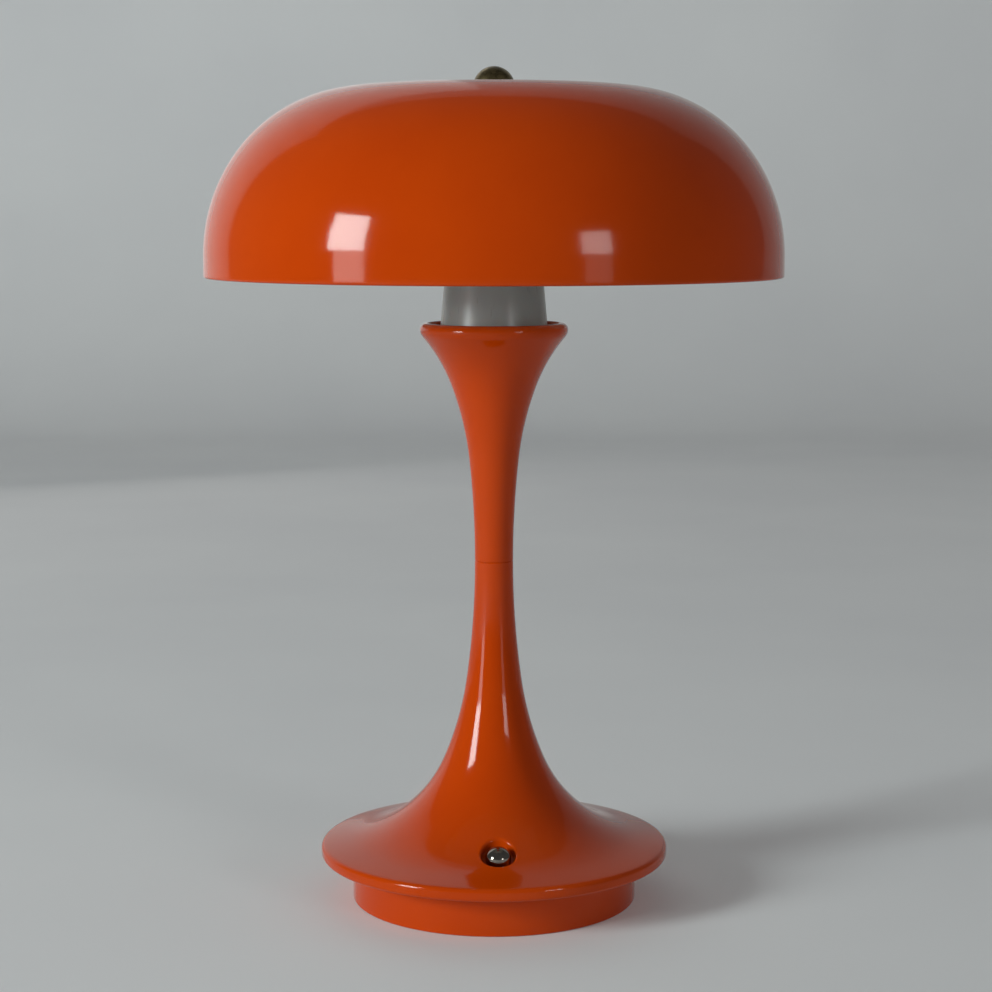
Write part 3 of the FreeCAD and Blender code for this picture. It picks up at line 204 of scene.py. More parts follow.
def turned(name, section, around=AROUND, centre=(0.0, 0.0)):
    """Draws the section point by point and spins it about the upright axis at centre."""
    clear_selection()
    bpy.ops.mesh.primitive_plane_add(size=MM)
    piece = bpy.context.object
    piece.name = name
    edit(piece)
    bpy.ops.mesh.select_mode(type="VERT")
    bpy.ops.mesh.select_all(action="SELECT")
    bpy.ops.mesh.merge(type="CENTER")
    first_r, first_z = section.points[0]
    bpy.ops.transform.translate(value=(centre[0] + first_r, centre[1], first_z))
    for before, after in zip(section.points, section.points[1:]):
        pull(after[0] - before[0], 0.0, after[1] - before[1])
    bpy.ops.mesh.select_all(action="SELECT")
    bpy.ops.mesh.spin(steps=around, angle=2.0 * math.pi, center=(centre[0], centre[1], 0.0),
                      axis=(0.0, 0.0, 1.0))
    bpy.ops.mesh.select_all(action="SELECT")
    bpy.ops.mesh.remove_doubles(threshold=WELD)
    bpy.ops.mesh.select_all(action="SELECT")
    bpy.ops.mesh.normals_make_consistent(inside=False)
    leave()
    settle(piece)
    smooth(piece)
    return piece


def stand_for(piece, node, body):
    """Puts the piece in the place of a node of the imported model."""
    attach(piece, body)
    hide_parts(node)


# ---------------------------------------------------------------- materials

class Signal:
    """A socket of a material. Sums on it add the nodes that work them out."""

    def __init__(self, finish, socket):
        self.finish = finish
        self.socket = socket

    def math(self, operation, other=0.0):
        node = self.finish.node("ShaderNodeMath", {"operation": operation}, {0: self, 1: other})
        return Signal(self.finish, node.outputs[0])

    def __add__(self, other):
        return self.math("ADD", other)

    def __mul__(self, other):
        return self.math("MULTIPLY", other)

    def __rsub__(self, other):
        return (self * -1.0) + other

    __radd__ = __add__
    __rmul__ = __mul__

    def over(self, low, high):
        """0 below low, 1 above high, and a straight ramp between."""
        node = self.finish.node("ShaderNodeMapRange", {"clamp": True},
                                {0: self, 1: low, 2: high, 3: 0.0, 4: 1.0})
        return Signal(self.finish, node.outputs[0])


def linear(red, green, blue):
    """A colour given as sRGB numbers from 0 to 255."""
    def channel(number):
        share = number / 255.0
        return share / 12.92 if share <= 0.04045 else ((share + 0.055) / 1.055) ** 2.4
    return (channel(red), channel(green), channel(blue), 1.0)


class Finish:
    """One material, built round a single surface shader."""

    def __init__(self, name, **fixed):
        self.material = bpy.data.materials.new(name)
        self.material.use_nodes = True
        self.tree = self.material.node_tree
        self.tree.nodes.clear()
        self.output = self.tree.nodes.new("ShaderNodeOutputMaterial")
        self.shader = self.tree.nodes.new("ShaderNodeBsdfPrincipled")
        self.tree.links.new(self.shader.outputs[0], self.output.inputs[0])
        for key, value in fixed.items():
            self.shader.inputs[key.replace("_", " ")].default_value = value
        place = self.node("ShaderNodeTexCoord")
        self.place = Signal(self, place.outputs["Object"])

    def node(self, kind, settings=None, sockets=None):
        node = self.tree.nodes.new(kind)
        for key, value in (settings or {}).items():
            setattr(node, key, value)
        for key, value in (sockets or {}).items():
            if isinstance(value, Signal):
                self.tree.links.new(value.socket, node.inputs[key])
            else:
                node.inputs[key].default_value = value
        return node

    def noise(self, scale, detail=3.0, roughness=0.5, place=None):
        """Clouded marks; scale is how many of them fit in a metre."""
        node = self.node("ShaderNodeTexNoise", None,
                         {"Vector": place or self.place, "Scale": scale, "Detail": detail,
                          "Roughness": roughness})
        return Signal(self, node.outputs["Fac"])

    def stretched(self, x, y, z):
        """The place on the piece with each direction scaled, for rubbed and drawn marks."""
        node = self.node("ShaderNodeMapping", None, {"Vector": self.place, "Scale": (x, y, z)})
        return Signal(self, node.outputs[0])

    def from_axis(self):
        """The distance from the lamp's upright axis, in metres."""
        split = self.node("ShaderNodeSeparateXYZ", None, {0: self.place})
        x = Signal(self, split.outputs[0])
        y = Signal(self, split.outputs[1])
        return (x * x + y * y).math("SQRT")

    def specks(self, scale, size):
        """Small round specks: 1 inside, 0 outside."""
        node = self.node("ShaderNodeTexVoronoi", {"feature": "F1"},
                         {"Vector": self.place, "Scale": scale})
        return 1.0 - Signal(self, node.outputs["Distance"]).over(size * 0.6, size)

    def mix(self, share, first, second):
        node = self.node("ShaderNodeMix", {"data_type": "RGBA"},
                         {0: share, 6: first, 7: second})
        return Signal(self, node.outputs[2])

    def colour(self, signal):
        self.tree.links.new(signal.socket, self.shader.inputs["Base Color"])

    def roughness(self, signal):
        self.tree.links.new(signal.socket, self.shader.inputs["Roughness"])

    def bump(self, height, depth):
        """depth is the height of a full step, in metres."""
        node = self.node("ShaderNodeBump", None,
                         {"Height": height, "Strength": 1.0, "Distance": depth})
        self.tree.links.new(node.outputs[0], self.shader.inputs["Normal"])


def orange_lacquer():
    """Gloss lacquer with faint clouding, specks of dust and a little orange peel."""
    finish = Finish("orange_lacquer", Coat_Weight=0.1, Coat_Roughness=0.03, IOR=1.5,
                    Specular_IOR_Level=0.17)
    cloud = finish.noise(14.0, detail=4.0)
    dust = finish.specks(420.0, size=0.05)
    base = finish.mix(cloud.over(0.35, 0.7), linear(186, 59, 0), linear(194, 65, 1))
    finish.colour(finish.mix(dust * 0.25, base, linear(224, 120, 52)))
    rubbed = finish.noise(60.0, detail=5.0, roughness=0.65,
                          place=finish.stretched(1.0, 1.0, 0.25))
    finish.roughness(rubbed.over(0.3, 0.8) * 0.07 + 0.07 + dust * 0.2)
    peel = finish.noise(900.0, detail=2.0) * 0.6 + finish.noise(180.0, detail=2.0) * 0.8
    finish.bump(peel, depth=0.018 * MM)
    return finish.material


def white_enamel():
    """The satin white inside of the shade."""
    finish = Finish("white_enamel", IOR=1.45)
    cloud = finish.noise(20.0, detail=4.0)
    finish.colour(finish.mix(cloud.over(0.3, 0.7), linear(226, 224, 218), linear(236, 235, 230)))
    finish.roughness(finish.noise(80.0, detail=4.0).over(0.3, 0.7) * 0.12 + 0.34)
    finish.bump(finish.noise(260.0), depth=0.03 * MM)
    return finish.material


def opal_in_painted_shade():
    """Milky satin acrylic with faint marks drawn along the tube; its white is painted grey as
    painted shade for the shadow that the lampshade casts on it.
    """
    finish = Finish("opal_in_painted_shade", IOR=1.49, Subsurface_Weight=0.25, Subsurface_Scale=0.004)
    cloud = finish.noise(30.0)
    # painted shade: both greys stand in for the shadow under the lampshade, not for the tube's
    # own white
    finish.colour(finish.mix(cloud.over(0.3, 0.7), linear(150, 147, 144), linear(160, 157, 154)))
    drawn = finish.noise(90.0, place=finish.stretched(6.0, 6.0, 0.15))
    finish.roughness(drawn.over(0.3, 0.7) * 0.10 + 0.26)
    finish.bump(drawn, depth=0.01 * MM)
    return finish.material


def aged_brass():
    """Dark brass, rubbed brighter in patches and stained in others."""
    finish = Finish("aged_brass", Metallic=1.0)
    patina = finish.noise(260.0, detail=6.0, roughness=0.7)
    stain = finish.noise(700.0, detail=4.0, roughness=0.6)
    worn = finish.mix(patina.over(0.35, 0.62), linear(84, 74, 50), linear(150, 134, 96))
    finish.colour(finish.mix(stain.over(0.55, 0.75), worn, linear(66, 60, 46)))
    finish.roughness(patina.over(0.3, 0.7) * -0.14 + 0.40)
    finish.bump(stain, depth=0.03 * MM)
    return finish.material


def polished_chrome():
    """Bright chrome with a light haze of finger marks."""
    finish = Finish("polished_chrome", Metallic=1.0)
    haze = finish.noise(420.0, detail=4.0, roughness=0.6)
    finish.colour(finish.mix(haze.over(0.4, 0.7), linear(148, 142, 134), linear(128, 122, 114)))
    finish.roughness(haze.over(0.35, 0.75) * 0.10 + 0.06)
    finish.bump(haze, depth=0.004 * MM)
    return finish.material


def plated_steel():
    """Zinc plated steel with a fine grain."""
    finish = Finish("plated_steel", Metallic=1.0)
    grain = finish.noise(500.0, detail=5.0, roughness=0.6)
    finish.colour(finish.mix(grain.over(0.3, 0.7), linear(168, 170, 172), linear(196, 197, 198)))
    finish.roughness(grain.over(0.3, 0.7) * 0.2 + 0.26)
    finish.bump(grain, depth=0.01 * MM)
    return finish.material


def turned_aluminium():
    """Aluminium with the fine rings that the lathe leaves."""
    finish = Finish("turned_aluminium", Metallic=1.0)
    rings = (finish.from_axis() * 16000.0).math("SINE")
    finish.colour(finish.mix(rings.over(-1.0, 1.0), linear(176, 178, 180),
                             linear(196, 198, 200)))
    finish.roughness(finish.noise(300.0, detail=4.0).over(0.3, 0.7) * 0.15 + 0.28)
    finish.bump(rings, depth=0.008 * MM)
    return finish.material


def moulded(name, dark, light, grain_scale=1400.0, depth=0.03 * MM, rough=0.42):
    """Moulded plastic with a spark-eroded grain."""
    finish = Finish(name, IOR=1.46)
    cloud = finish.noise(40.0, detail=4.0)
    finish.colour(finish.mix(cloud.over(0.3, 0.7), dark, light))
    grain = finish.noise(grain_scale)
    finish.roughness(grain.over(0.3, 0.7) * 0.16 + rough)
    finish.bump(grain, depth)
    return finish.material


def circuit_board(name, mask, track):
    """Solder mask with raised tracks on a square grid."""
    finish = Finish(name, IOR=1.5)
    grid = finish.node("ShaderNodeTexBrick", {"offset": 0.5},
                       {"Vector": finish.place, "Scale": 420.0, "Mortar Size": 0.03})
    tracks = Signal(finish, grid.outputs["Fac"])
    finish.colour(finish.mix(tracks, mask, track))
    finish.roughness(finish.noise(200.0).over(0.3, 0.7) * 0.12 + 0.3)
    finish.bump(tracks, depth=0.03 * MM)
    return finish.material


def rubber():
    """Matt black rubber with moulded rings."""
    finish = Finish("black_rubber", IOR=1.5)
    cloud = finish.noise(60.0, detail=4.0)
    finish.colour(finish.mix(cloud.over(0.3, 0.7), linear(24, 24, 25), linear(38, 38, 39)))
    ribs = (finish.from_axis() * 3500.0).math("SINE").over(0.1, 0.7)
    finish.roughness(finish.noise(900.0).over(0.3, 0.7) * 0.15 + 0.62)
    finish.bump(ribs + finish.noise(1500.0) * 0.3, depth=0.2 * MM)
    return finish.material


ORANGE = orange_lacquer()
WHITE = white_enamel()
TUBE_GREYED_FOR_SHADE = opal_in_painted_shade()
BRASS = aged_brass()
CHROME = polished_chrome()
STEEL = plated_steel()
ALUMINIUM = turned_aluminium()
BLACK_PLASTIC = moulded("black_plastic", linear(22, 22, 23), linear(32, 32, 33))
WHITE_PLASTIC = moulded("white_plastic", linear(222, 221, 216), linear(232, 231, 227))
GREEN_BOARD = circuit_board("green_board", linear(14, 74, 38), linear(34, 104, 58))
WHITE_BOARD = circuit_board("white_board", linear(226, 226, 222), linear(206, 206, 200))
PHOSPHOR = moulded("phosphor", linear(224, 190, 70), linear(236, 206, 96),
                   grain_scale=900.0, depth=0.01 * MM, rough=0.3)
CELL_WRAP = moulded("cell_wrap", linear(28, 74, 132), linear(36, 86, 146),
                    grain_scale=300.0, depth=0.01 * MM, rough=0.2)
WIRE_SLEEVE = moulded("wire_sleeve", linear(150, 24, 20), linear(168, 34, 28),
                      grain_scale=900.0, depth=0.01 * MM, rough=0.4)
RUBBER = rubber()


def coat(piece, *materials):
    piece.data.materials.clear()
    for material in materials:
        piece.data.materials.append(material)


# ---------------------------------------------------------------- shade and its holder

SHADE_WALL = 2.3 * MM
SHADE_EDGE = 0.9 * MM
SHADE_SIDE = 7.9 * MM
SIDE_BEND = 66.0 * MM
SIDE_LEAN = 36.1
SHOULDER_BEND = 60.0 * MM
SHOULDER_LEAN = 87.0
CROWN_FLAT = 8.5 * MM
CROWN_STEP = 2.0 * MM
INNER_STEP = 2.0 * MM
INNER_CROWN_STEP = 3.0 * MM
STUD_HOLE = 3.3 * MM
SEAT_RADIUS = 10.0 * MM
SEAT_HEIGHT = 1.5 * MM
WHITE_EYE = 10.0 * MM       # below the rim: from here the white side of the shade is seen
WHITE_FACING = -0.2         # cosine past which a face looks back to that point

STUD_BORE = 3.08 * MM       # in the finial and the hub
FINIAL_EDGE = 0.35 * MM
FINIAL_CROWN = 2.2 * MM     # metal over the blind bore

CARRIER_PLUG = 11.58 * MM
CARRIER_BOSS = 9.0 * MM
CARRIER_BOSS_HEIGHT = 3.0 * MM
CARRIER_EDGE = 0.5 * MM


def cos_of(degrees):
    return math.cos(math.radians(degrees))


def make_shade():
    radius = SHADE_HIGH.x
    shoulder_r = radius - SIDE_BEND + SIDE_BEND * cos_of(SIDE_LEAN)
    shoulder_r += SHOULDER_BEND * (cos_of(SHOULDER_LEAN) - cos_of(SIDE_LEAN))
    crown_bend = (shoulder_r - CROWN_FLAT) / cos_of(SHOULDER_LEAN)
    section = Section(STUD_HOLE, SHADE_HIGH.z, 0.0)
    section.go(CROWN_FLAT - STUD_HOLE, 3)
    section.curve(crown_bend, SHOULDER_LEAN - 90.0, CROWN_STEP)
    section.curve(SHOULDER_BEND, SIDE_LEAN - SHOULDER_LEAN)
    section.curve(SIDE_BEND, -SIDE_LEAN)
    section.go(SHADE_SIDE - SHADE_EDGE, 3)
    section.curve(SHADE_EDGE, -90.0)
    section.go(SHADE_WALL - 2.0 * SHADE_EDGE)
    section.curve(SHADE_EDGE, -90.0)
    section.go(SHADE_SIDE - SHADE_EDGE, 3)
    section.curve(SIDE_BEND - SHADE_WALL, SIDE_LEAN, INNER_STEP)
    section.curve(SHOULDER_BEND - SHADE_WALL, SHOULDER_LEAN - SIDE_LEAN, INNER_STEP)
    section.curve(crown_bend - SHADE_WALL, 90.0 - SHOULDER_LEAN, INNER_CROWN_STEP)
    under = SHADE_HIGH.z - SHADE_WALL
    section.to(SEAT_RADIUS + SEAT_HEIGHT / 2, under)
    section.to(SEAT_RADIUS, under - SEAT_HEIGHT)
    section.to(STUD_HOLE, under - SEAT_HEIGHT)
    section.close()
    shade = turned("shade_dome", section)
    coat(shade, ORANGE, WHITE)
    eye = Vector((0.0, 0.0, SHADE_LOW.z - WHITE_EYE))
    for face in shade.data.polygons:
        sight = face.center - eye
        white = sight.dot(face.normal) < WHITE_FACING * sight.length
        face.material_index = 1 if white else 0
    stand_for(shade, "shade", "lamp")


def make_finial():
    base = FINIAL_HIGH.x
    height = FINIAL_HIGH.z - FINIAL_LOW.z
    dome = (base * base + height * height) / (2.0 * height)
    centre_z = FINIAL_HIGH.z - dome
    bottom_angle = math.asin((FINIAL_LOW.z + FINIAL_EDGE - centre_z) / dome)
    bore_top = FINIAL_HIGH.z - FINIAL_CROWN
    section = Section(STUD_BORE, FINIAL_LOW.z, 0.0)
    section.go(base - STUD_BORE - FINIAL_EDGE)
    section.to(base - 0.1 * FINIAL_EDGE, FINIAL_LOW.z + FINIAL_EDGE)
    # the dome starts along its own sphere, not along the chamfer
    section.heading = bottom_angle + math.pi / 2
    section.r = dome * math.cos(bottom_angle)
    section.curve(dome, 90.0 - math.degrees(bottom_angle), 0.5 * MM)
    section.r = 0.0
    section.to(0.0, bore_top)
    section.to(STUD_BORE, bore_top)
    section.close()
    finial = turned("finial_dome", section, AROUND_SMALL)
    coat(finial, BRASS)
    stand_for(finial, "finial", "finial")


def make_carrier():
    """The hub in the top of the tube: a plug, a flange that the tube carries and a boss."""
    tube_top = TUBE_HIGH.z
    flange = CARRIER_HIGH.x
    flange_top = CARRIER_HIGH.z - CARRIER_BOSS_HEIGHT
    section = Section(STUD_BORE, CARRIER_LOW.z, 0.0)
    section.to(CARRIER_PLUG - CARRIER_EDGE, CARRIER_LOW.z)
    section.to(CARRIER_PLUG, CARRIER_LOW.z + CARRIER_EDGE)
    section.to(CARRIER_PLUG, tube_top)
    section.to(flange - CARRIER_EDGE, tube_top)
    section.curve(CARRIER_EDGE, 90.0)
    section.to(flange, flange_top - CARRIER_EDGE)
    section.curve(CARRIER_EDGE, 90.0)
    section.to(CARRIER_BOSS + CARRIER_EDGE, flange_top)
    section.curve(CARRIER_EDGE, -90.0)
    section.to(CARRIER_BOSS, CARRIER_HIGH.z - CARRIER_EDGE)
    section.curve(CARRIER_EDGE, 90.0)
    section.to(STUD_BORE, CARRIER_HIGH.z)
    section.close()
    carrier = turned("carrier_hub", section, AROUND_SMALL)
    coat(carrier, WHITE_PLASTIC)
    stand_for(carrier, "shade_carrier", "lamp")


# ---------------------------------------------------------------- opal tube

TUBE_WALL = 1.6 * MM
TUBE_FLANGE = 1.8 * MM
TUBE_FOOT = 20.8 * MM
TUBE_TOP = 13.3 * MM
TUBE_EDGE = 0.3 * MM
COLLAR_INNER = 21.2 * MM
COLLAR_EDGE = 0.3 * MM


def make_tube():
    section = Section(TUBE_FOOT - TUBE_WALL, TUBE_LOW.z, 0.0)
    section.to(TUBE_HIGH.x, TUBE_LOW.z)
    section.to(TUBE_HIGH.x, TUBE_LOW.z + TUBE_FLANGE)
    section.to(TUBE_FOOT, TUBE_LOW.z + TUBE_FLANGE)
    section.to(TUBE_TOP, TUBE_HIGH.z - TUBE_EDGE, 24)
    section.to(TUBE_TOP - TUBE_EDGE, TUBE_HIGH.z)
    section.to(TUBE_TOP - TUBE_WALL, TUBE_HIGH.z)
    section.to(TUBE_FOOT - TUBE_WALL, TUBE_LOW.z, 12)
    tube = turned("opal_tube", section, AROUND_SMALL)
    coat(tube, TUBE_GREYED_FOR_SHADE)
    stand_for(tube, "diffuser", "lamp")


def make_collar():
    outer = COLLAR_HIGH.x
    section = Section(COLLAR_INNER, COLLAR_LOW.z, 0.0)
    section.to(outer, COLLAR_LOW.z)
    section.to(outer, COLLAR_HIGH.z - COLLAR_EDGE)
    section.curve(COLLAR_EDGE, 90.0)
    section.to(COLLAR_INNER + COLLAR_EDGE, COLLAR_HIGH.z)
    section.curve(COLLAR_EDGE, 90.0)
    section.close()
    collar = turned("tube_collar", section, AROUND_SMALL)
    coat(collar, WHITE_PLASTIC)
    stand_for(collar, "diffuser_collar", "lamp")


# ---------------------------------------------------------------- stem

WAIST = 7.45 * MM
JOINT_CHAMFER = 0.25 * MM
STEM_BENDS = ((358.6 * MM, 6.3), (116.4 * MM, 14.3), (64.5 * MM, 19.4))     # radius, degrees
LIP_UNDER = 4.5 * MM
LIP_LEAN = 40.0
LIP_CREST = 2.4 * MM
LIP_INNER = 1.0 * MM
CUP_SKIN = 2.75 * MM
CUP_LEDGE_DEPTH = 8.4 * MM
CUP_CONE = 3.9 * MM
CUP_FLOOR_DEPTH = 18.9 * MM
CUP_FLOOR_SLOPE = 6.0 * MM
CUP_FLOOR_RADIUS = 13.0 * MM
CUP_LEDGE_RADIUS = 19.5 * MM
ROD_HOLE = 4.2 * MM
SOCKET = 5.75 * MM
SOCKET_DEPTH = 6.15 * MM


def make_stem():
    """The upper half: up outside from the joint, over the rolled lip, then down the cup."""
    joint = STEM_LOW.z
    section = Section(SOCKET, joint, 0.0)
    section.to(WAIST - JOINT_CHAMFER, joint)
    section.to(WAIST, joint + JOINT_CHAMFER)
    section.heading = math.pi / 2
    for radius, lean in STEM_BENDS:
        section.curve(radius, -lean)
    section.curve(LIP_UNDER, LIP_LEAN, 0.5 * MM)
    section.curve(LIP_CREST, 90.0, FINE_STEP)
    section.curve(LIP_INNER, 90.0, FINE_STEP)
    cup = section.r
    ledge = STEM_HIGH.z - CUP_LEDGE_DEPTH
    cup_floor = STEM_HIGH.z - CUP_FLOOR_DEPTH
    section.to(cup, ledge + CUP_CONE, 2)
    section.to(cup - CUP_SKIN, ledge)
    section.to(CUP_LEDGE_RADIUS, ledge)
    section.to(CUP_LEDGE_RADIUS, cup_floor + CUP_FLOOR_SLOPE)
    section.to(CUP_FLOOR_RADIUS, cup_floor)
    section.to(ROD_HOLE, cup_floor)
    section.to(ROD_HOLE, joint + SOCKET_DEPTH)
    section.to(SOCKET, joint + SOCKET_DEPTH)
    section.close()
    stem = turned("stem_upper_half", section)
    coat(stem, ORANGE)
    stand_for(stem, "upper_stem", "lamp")


# ---------------------------------------------------------------- foot with its dimple

FOOT_RIM = 16.9 * MM        # level of the disc's underside
FOOT_WALL = 2.5 * MM
RIM_SIDE = 3.36 * MM
RIM_TOP_ROUND = 1.8 * MM
RIM_LOW_ROUND = 1.5 * MM
DISC_SLOPE = 78.3           # degrees from upright
# the flare's bends: radius, then the lean from upright at start and end
FOOT_BENDS = ((52.4 * MM, 78.3, 47.9), (54.5 * MM, 47.9, 23.3), (122.8 * MM, 23.3, 8.2),
              (326.1 * MM, 8.2, 0.0))
FLARE_STEP = 1.2 * MM
SPIGOT = 5.6 * MM
SPIGOT_LENGTH = 6.0 * MM
ROD_BORE_DEPTH = 13.0 * MM  # from the joint down to the hollow of the foot
CORE_SEAT = 10.0 * MM
CORE_SEAT_LEAN = 19.1

DIMPLE = 6.5 * MM
DIMPLE_EDGE = 0.9 * MM
DIMPLE_AROUND = 96
DIMPLE_ROLL_STEPS = 8
DIMPLE_PLACE = Vector((0.0, (BUTTON_LOW.y + BUTTON_HIGH.y) / 2, 0.0))
DIMPLE_FLOOR = BUTTON_HIGH.z - 8.8 * MM
DIMPLE_UNDERSIDE = DIMPLE_FLOOR - 2.0 * MM
DIMPLE_FLANGE = DIMPLE + 2.0 * MM
PATCH_REACH = DIMPLE + DIMPLE_EDGE + 0.2 * MM       # outermost ring of the patch
DISC_CUT = DIMPLE + DIMPLE_EDGE + 0.9 * MM          # the disc's skin goes inside this
SAME_RING = 0.004 * MM
STEM_HOLE = 1.9 * MM


def slope_run(r):
    """Length of the disc's straight slope, from radius r in to the flare."""
    spread = sum(radius * (cos_of(end) - cos_of(start)) for radius, start, end in FOOT_BENDS)
    return (r - WAIST - spread) / math.sin(math.radians(DISC_SLOPE))


def foot_section():
    rim = BASE_HIGH.x
    section = Section(rim - RIM_LOW_ROUND, FOOT_RIM, 0.0)
    section.curve(RIM_LOW_ROUND, 90.0, FINE_STEP)
    section.go(RIM_SIDE - RIM_LOW_ROUND, 2)
    section.curve(RIM_TOP_ROUND, DISC_SLOPE, FINE_STEP)
    section.go(slope_run(section.r), 7)
    for radius, start, end in FOOT_BENDS:
        section.curve(radius, end - start, FLARE_STEP)
    joint = section.z + JOINT_CHAMFER
    section.to(WAIST - JOINT_CHAMFER, joint)
    section.to(SPIGOT, joint)
    section.to(SPIGOT, joint + SPIGOT_LENGTH)
    section.to(ROD_HOLE, joint + SPIGOT_LENGTH)
    section.to(ROD_HOLE, joint - ROD_BORE_DEPTH)
    section.to(WAIST - FOOT_WALL, joint - ROD_BORE_DEPTH)
    inner_points = inner_foot_points(rim)
    section.to(CORE_SEAT, inner_points[-1][1])
    for r, z in reversed(inner_points):
        section.to(r, z)
    section.to(rim - FOOT_WALL, FOOT_RIM)
    section.close()
    return section


def inner_foot_points(rim):
    """The inner skin of the foot, from its skirt up to the shoulder for the anchor plate."""
    outer = Section(rim, FOOT_RIM + RIM_SIDE, 90.0)
    outer.curve(RIM_TOP_ROUND, DISC_SLOPE)
    outer.go(slope_run(outer.r))
    lean = math.radians(DISC_SLOPE)
    start_r = outer.r - FOOT_WALL * math.cos(lean)
    start_z = outer.z - FOOT_WALL * math.sin(lean)
    inner = Section(start_r, start_z, 90.0 + DISC_SLOPE)
    skirt = rim - FOOT_WALL
    skirt_top = start_z - (skirt - start_r) / math.tan(lean)
    for radius, start, end in FOOT_BENDS[:2]:
        inner.curve(radius + FOOT_WALL, end - start, INNER_STEP)
    radius, start, _ = FOOT_BENDS[2]
    inner.curve(radius + FOOT_WALL, CORE_SEAT_LEAN - start, INNER_STEP)
    return [(skirt, skirt_top)] + inner.points


def near_dimple(point):
    """Distance in plan from the middle of the dimple."""
    return math.hypot(point.x - DIMPLE_PLACE.x, point.y - DIMPLE_PLACE.y)


def under_patch(middle, normal):
    """True for the faces of the disc's upper skin that the patch takes the place of."""
    on_top = normal.z > 0.3 and middle.z > DIMPLE_FLOOR + 1.0 * MM
    return on_top and near_dimple(middle) < DISC_CUT


def make_dimple(foot):
    """A patch of the disc's skin that rolls over into the button's round well."""
    centre = (DIMPLE_PLACE.x, DIMPLE_PLACE.y, BASE_HIGH.z)
    clear_selection()
    bpy.ops.mesh.primitive_circle_add(vertices=DIMPLE_AROUND, radius=PATCH_REACH,
                                      fill_type="NOTHING", location=centre)
    patch = bpy.context.object
    patch.name = "dimple_patch"
    settle(patch)
    edit(patch)
    bpy.ops.mesh.select_all(action="SELECT")
    radius = PATCH_REACH
    rings = []
    for number in range(DIMPLE_ROLL_STEPS + 1):
        angle = math.radians(90.0 * number / DIMPLE_ROLL_STEPS)
        target = DIMPLE + DIMPLE_EDGE * (1.0 - math.sin(angle))
        pull(0.0, 0.0, 0.0)
        widen(target / radius, centre)
        radius = target
        rings.append((target, DIMPLE_EDGE * (1.0 - math.cos(angle))))
    leave()
    apply(patch, "SHRINKWRAP", "lay_on_disc", target=foot, wrap_method="PROJECT",
          use_project_z=True, use_negative_direction=True, use_positive_direction=False,
          wrap_mode="ON_SURFACE", cull_face="OFF")
    for target, drop in rings[1:]:
        pick(patch, lambda p: abs(near_dimple(p) - target) < SAME_RING, "VERT")
        bpy.ops.transform.translate(value=(0.0, 0.0, -drop))
        leave()
    # the well: down to its floor, in to the hole for the button's stem, and out below
    pick(patch, lambda a, b: max(near_dimple(a), near_dimple(b)) < DIMPLE + SAME_RING, "EDGE")
    pull(0.0, 0.0, 0.0)
    level = DIMPLE_FLOOR
    bpy.ops.transform.resize(value=(1.0, 1.0, 0.0), center_override=(0.0, 0.0, level))
    for target, next_level in ((STEM_HOLE, DIMPLE_FLOOR), (STEM_HOLE, DIMPLE_UNDERSIDE),
                               (DIMPLE_FLANGE, DIMPLE_UNDERSIDE)):
        pull(0.0, 0.0, next_level - level)
        widen(target / radius, (DIMPLE_PLACE.x, DIMPLE_PLACE.y, next_level))
        radius, level = target, next_level
    leave()
    return patch


def make_foot():
    foot = turned("foot_shell", foot_section())
    patch = make_dimple(foot)
    pick(foot, under_patch)
    bpy.ops.mesh.delete(type="FACE")
    leave()
    take(foot)
    patch.select_set(True)
    bpy.ops.object.join()
    edit(foot)
    bpy.ops.mesh.select_mode(type="EDGE")
    bpy.ops.mesh.select_all(action="DESELECT")
    bpy.ops.mesh.select_non_manifold(extend=False, use_wire=False, use_boundary=True,
                                     use_multi_face=False, use_non_contiguous=False,
                                     use_verts=False)
    bpy.ops.mesh.bridge_edge_loops()
    leave()
    smooth(foot)
    coat(foot, ORANGE)
    stand_for(foot, "base_shell", "lamp")


# ---------------------------------------------------------------- plinth

PLINTH_RADIUS = 55.35 * MM
PLINTH_EDGE = 0.4 * MM
PLINTH_WALL = 2.5 * MM
SHELF_WIDTH = 3.85 * MM     # the bottom cover is screwed to this inner shelf
SHELF_LOW = 3.8 * MM
SHELF_TOP = 5.8 * MM
SLOT_PLAY = 0.25 * MM
SLOT_DEPTH = 8.0 * MM
SLOT_SETBACK = 1.0 * MM
PIPE_HOLE = 1.1 * MM
PIPE_HOLE_DEPTH = 12.0 * MM


def make_plinth():
    inner = PLINTH_RADIUS - PLINTH_WALL
    flange = PLINTH_HIGH.x
    section = Section(inner, PLINTH_LOW.z, 0.0)
    section.to(PLINTH_RADIUS - PLINTH_EDGE, PLINTH_LOW.z)
    section.curve(PLINTH_EDGE, 90.0, 0.2 * MM)
    section.to(PLINTH_RADIUS, FOOT_RIM, 8)
    section.to(flange, FOOT_RIM, 4)
    section.to(flange, PLINTH_HIGH.z)
    section.to(inner, PLINTH_HIGH.z)
    section.to(inner, SHELF_TOP)
    section.to(inner - SHELF_WIDTH, SHELF_TOP)
    section.to(inner - SHELF_WIDTH, SHELF_LOW)
    section.to(inner, SHELF_LOW)
    section.close()
    plinth = turned("plinth_ring", section)
    cut_slot(plinth)
    cut_pipe_hole(plinth)
    smooth(plinth)
    coat(plinth, ORANGE)
    stand_for(plinth, "plinth", "lamp")


def lying_cutter(around, radius, length, middle):
    """A round bar that lies along Y."""
    clear_selection()
    bpy.ops.mesh.primitive_cylinder_add(vertices=around, radius=radius, depth=length,
                                        location=middle,
                                        rotation=(math.radians(90.0), 0.0, 0.0))
    cutter = bpy.context.object
    settle(cutter)
    return cutter


def subtract(piece, cutter):
    apply(piece, "BOOLEAN", "opening", object=cutter, operation="DIFFERENCE", solver="EXACT")
    bpy.data.objects.remove(cutter)


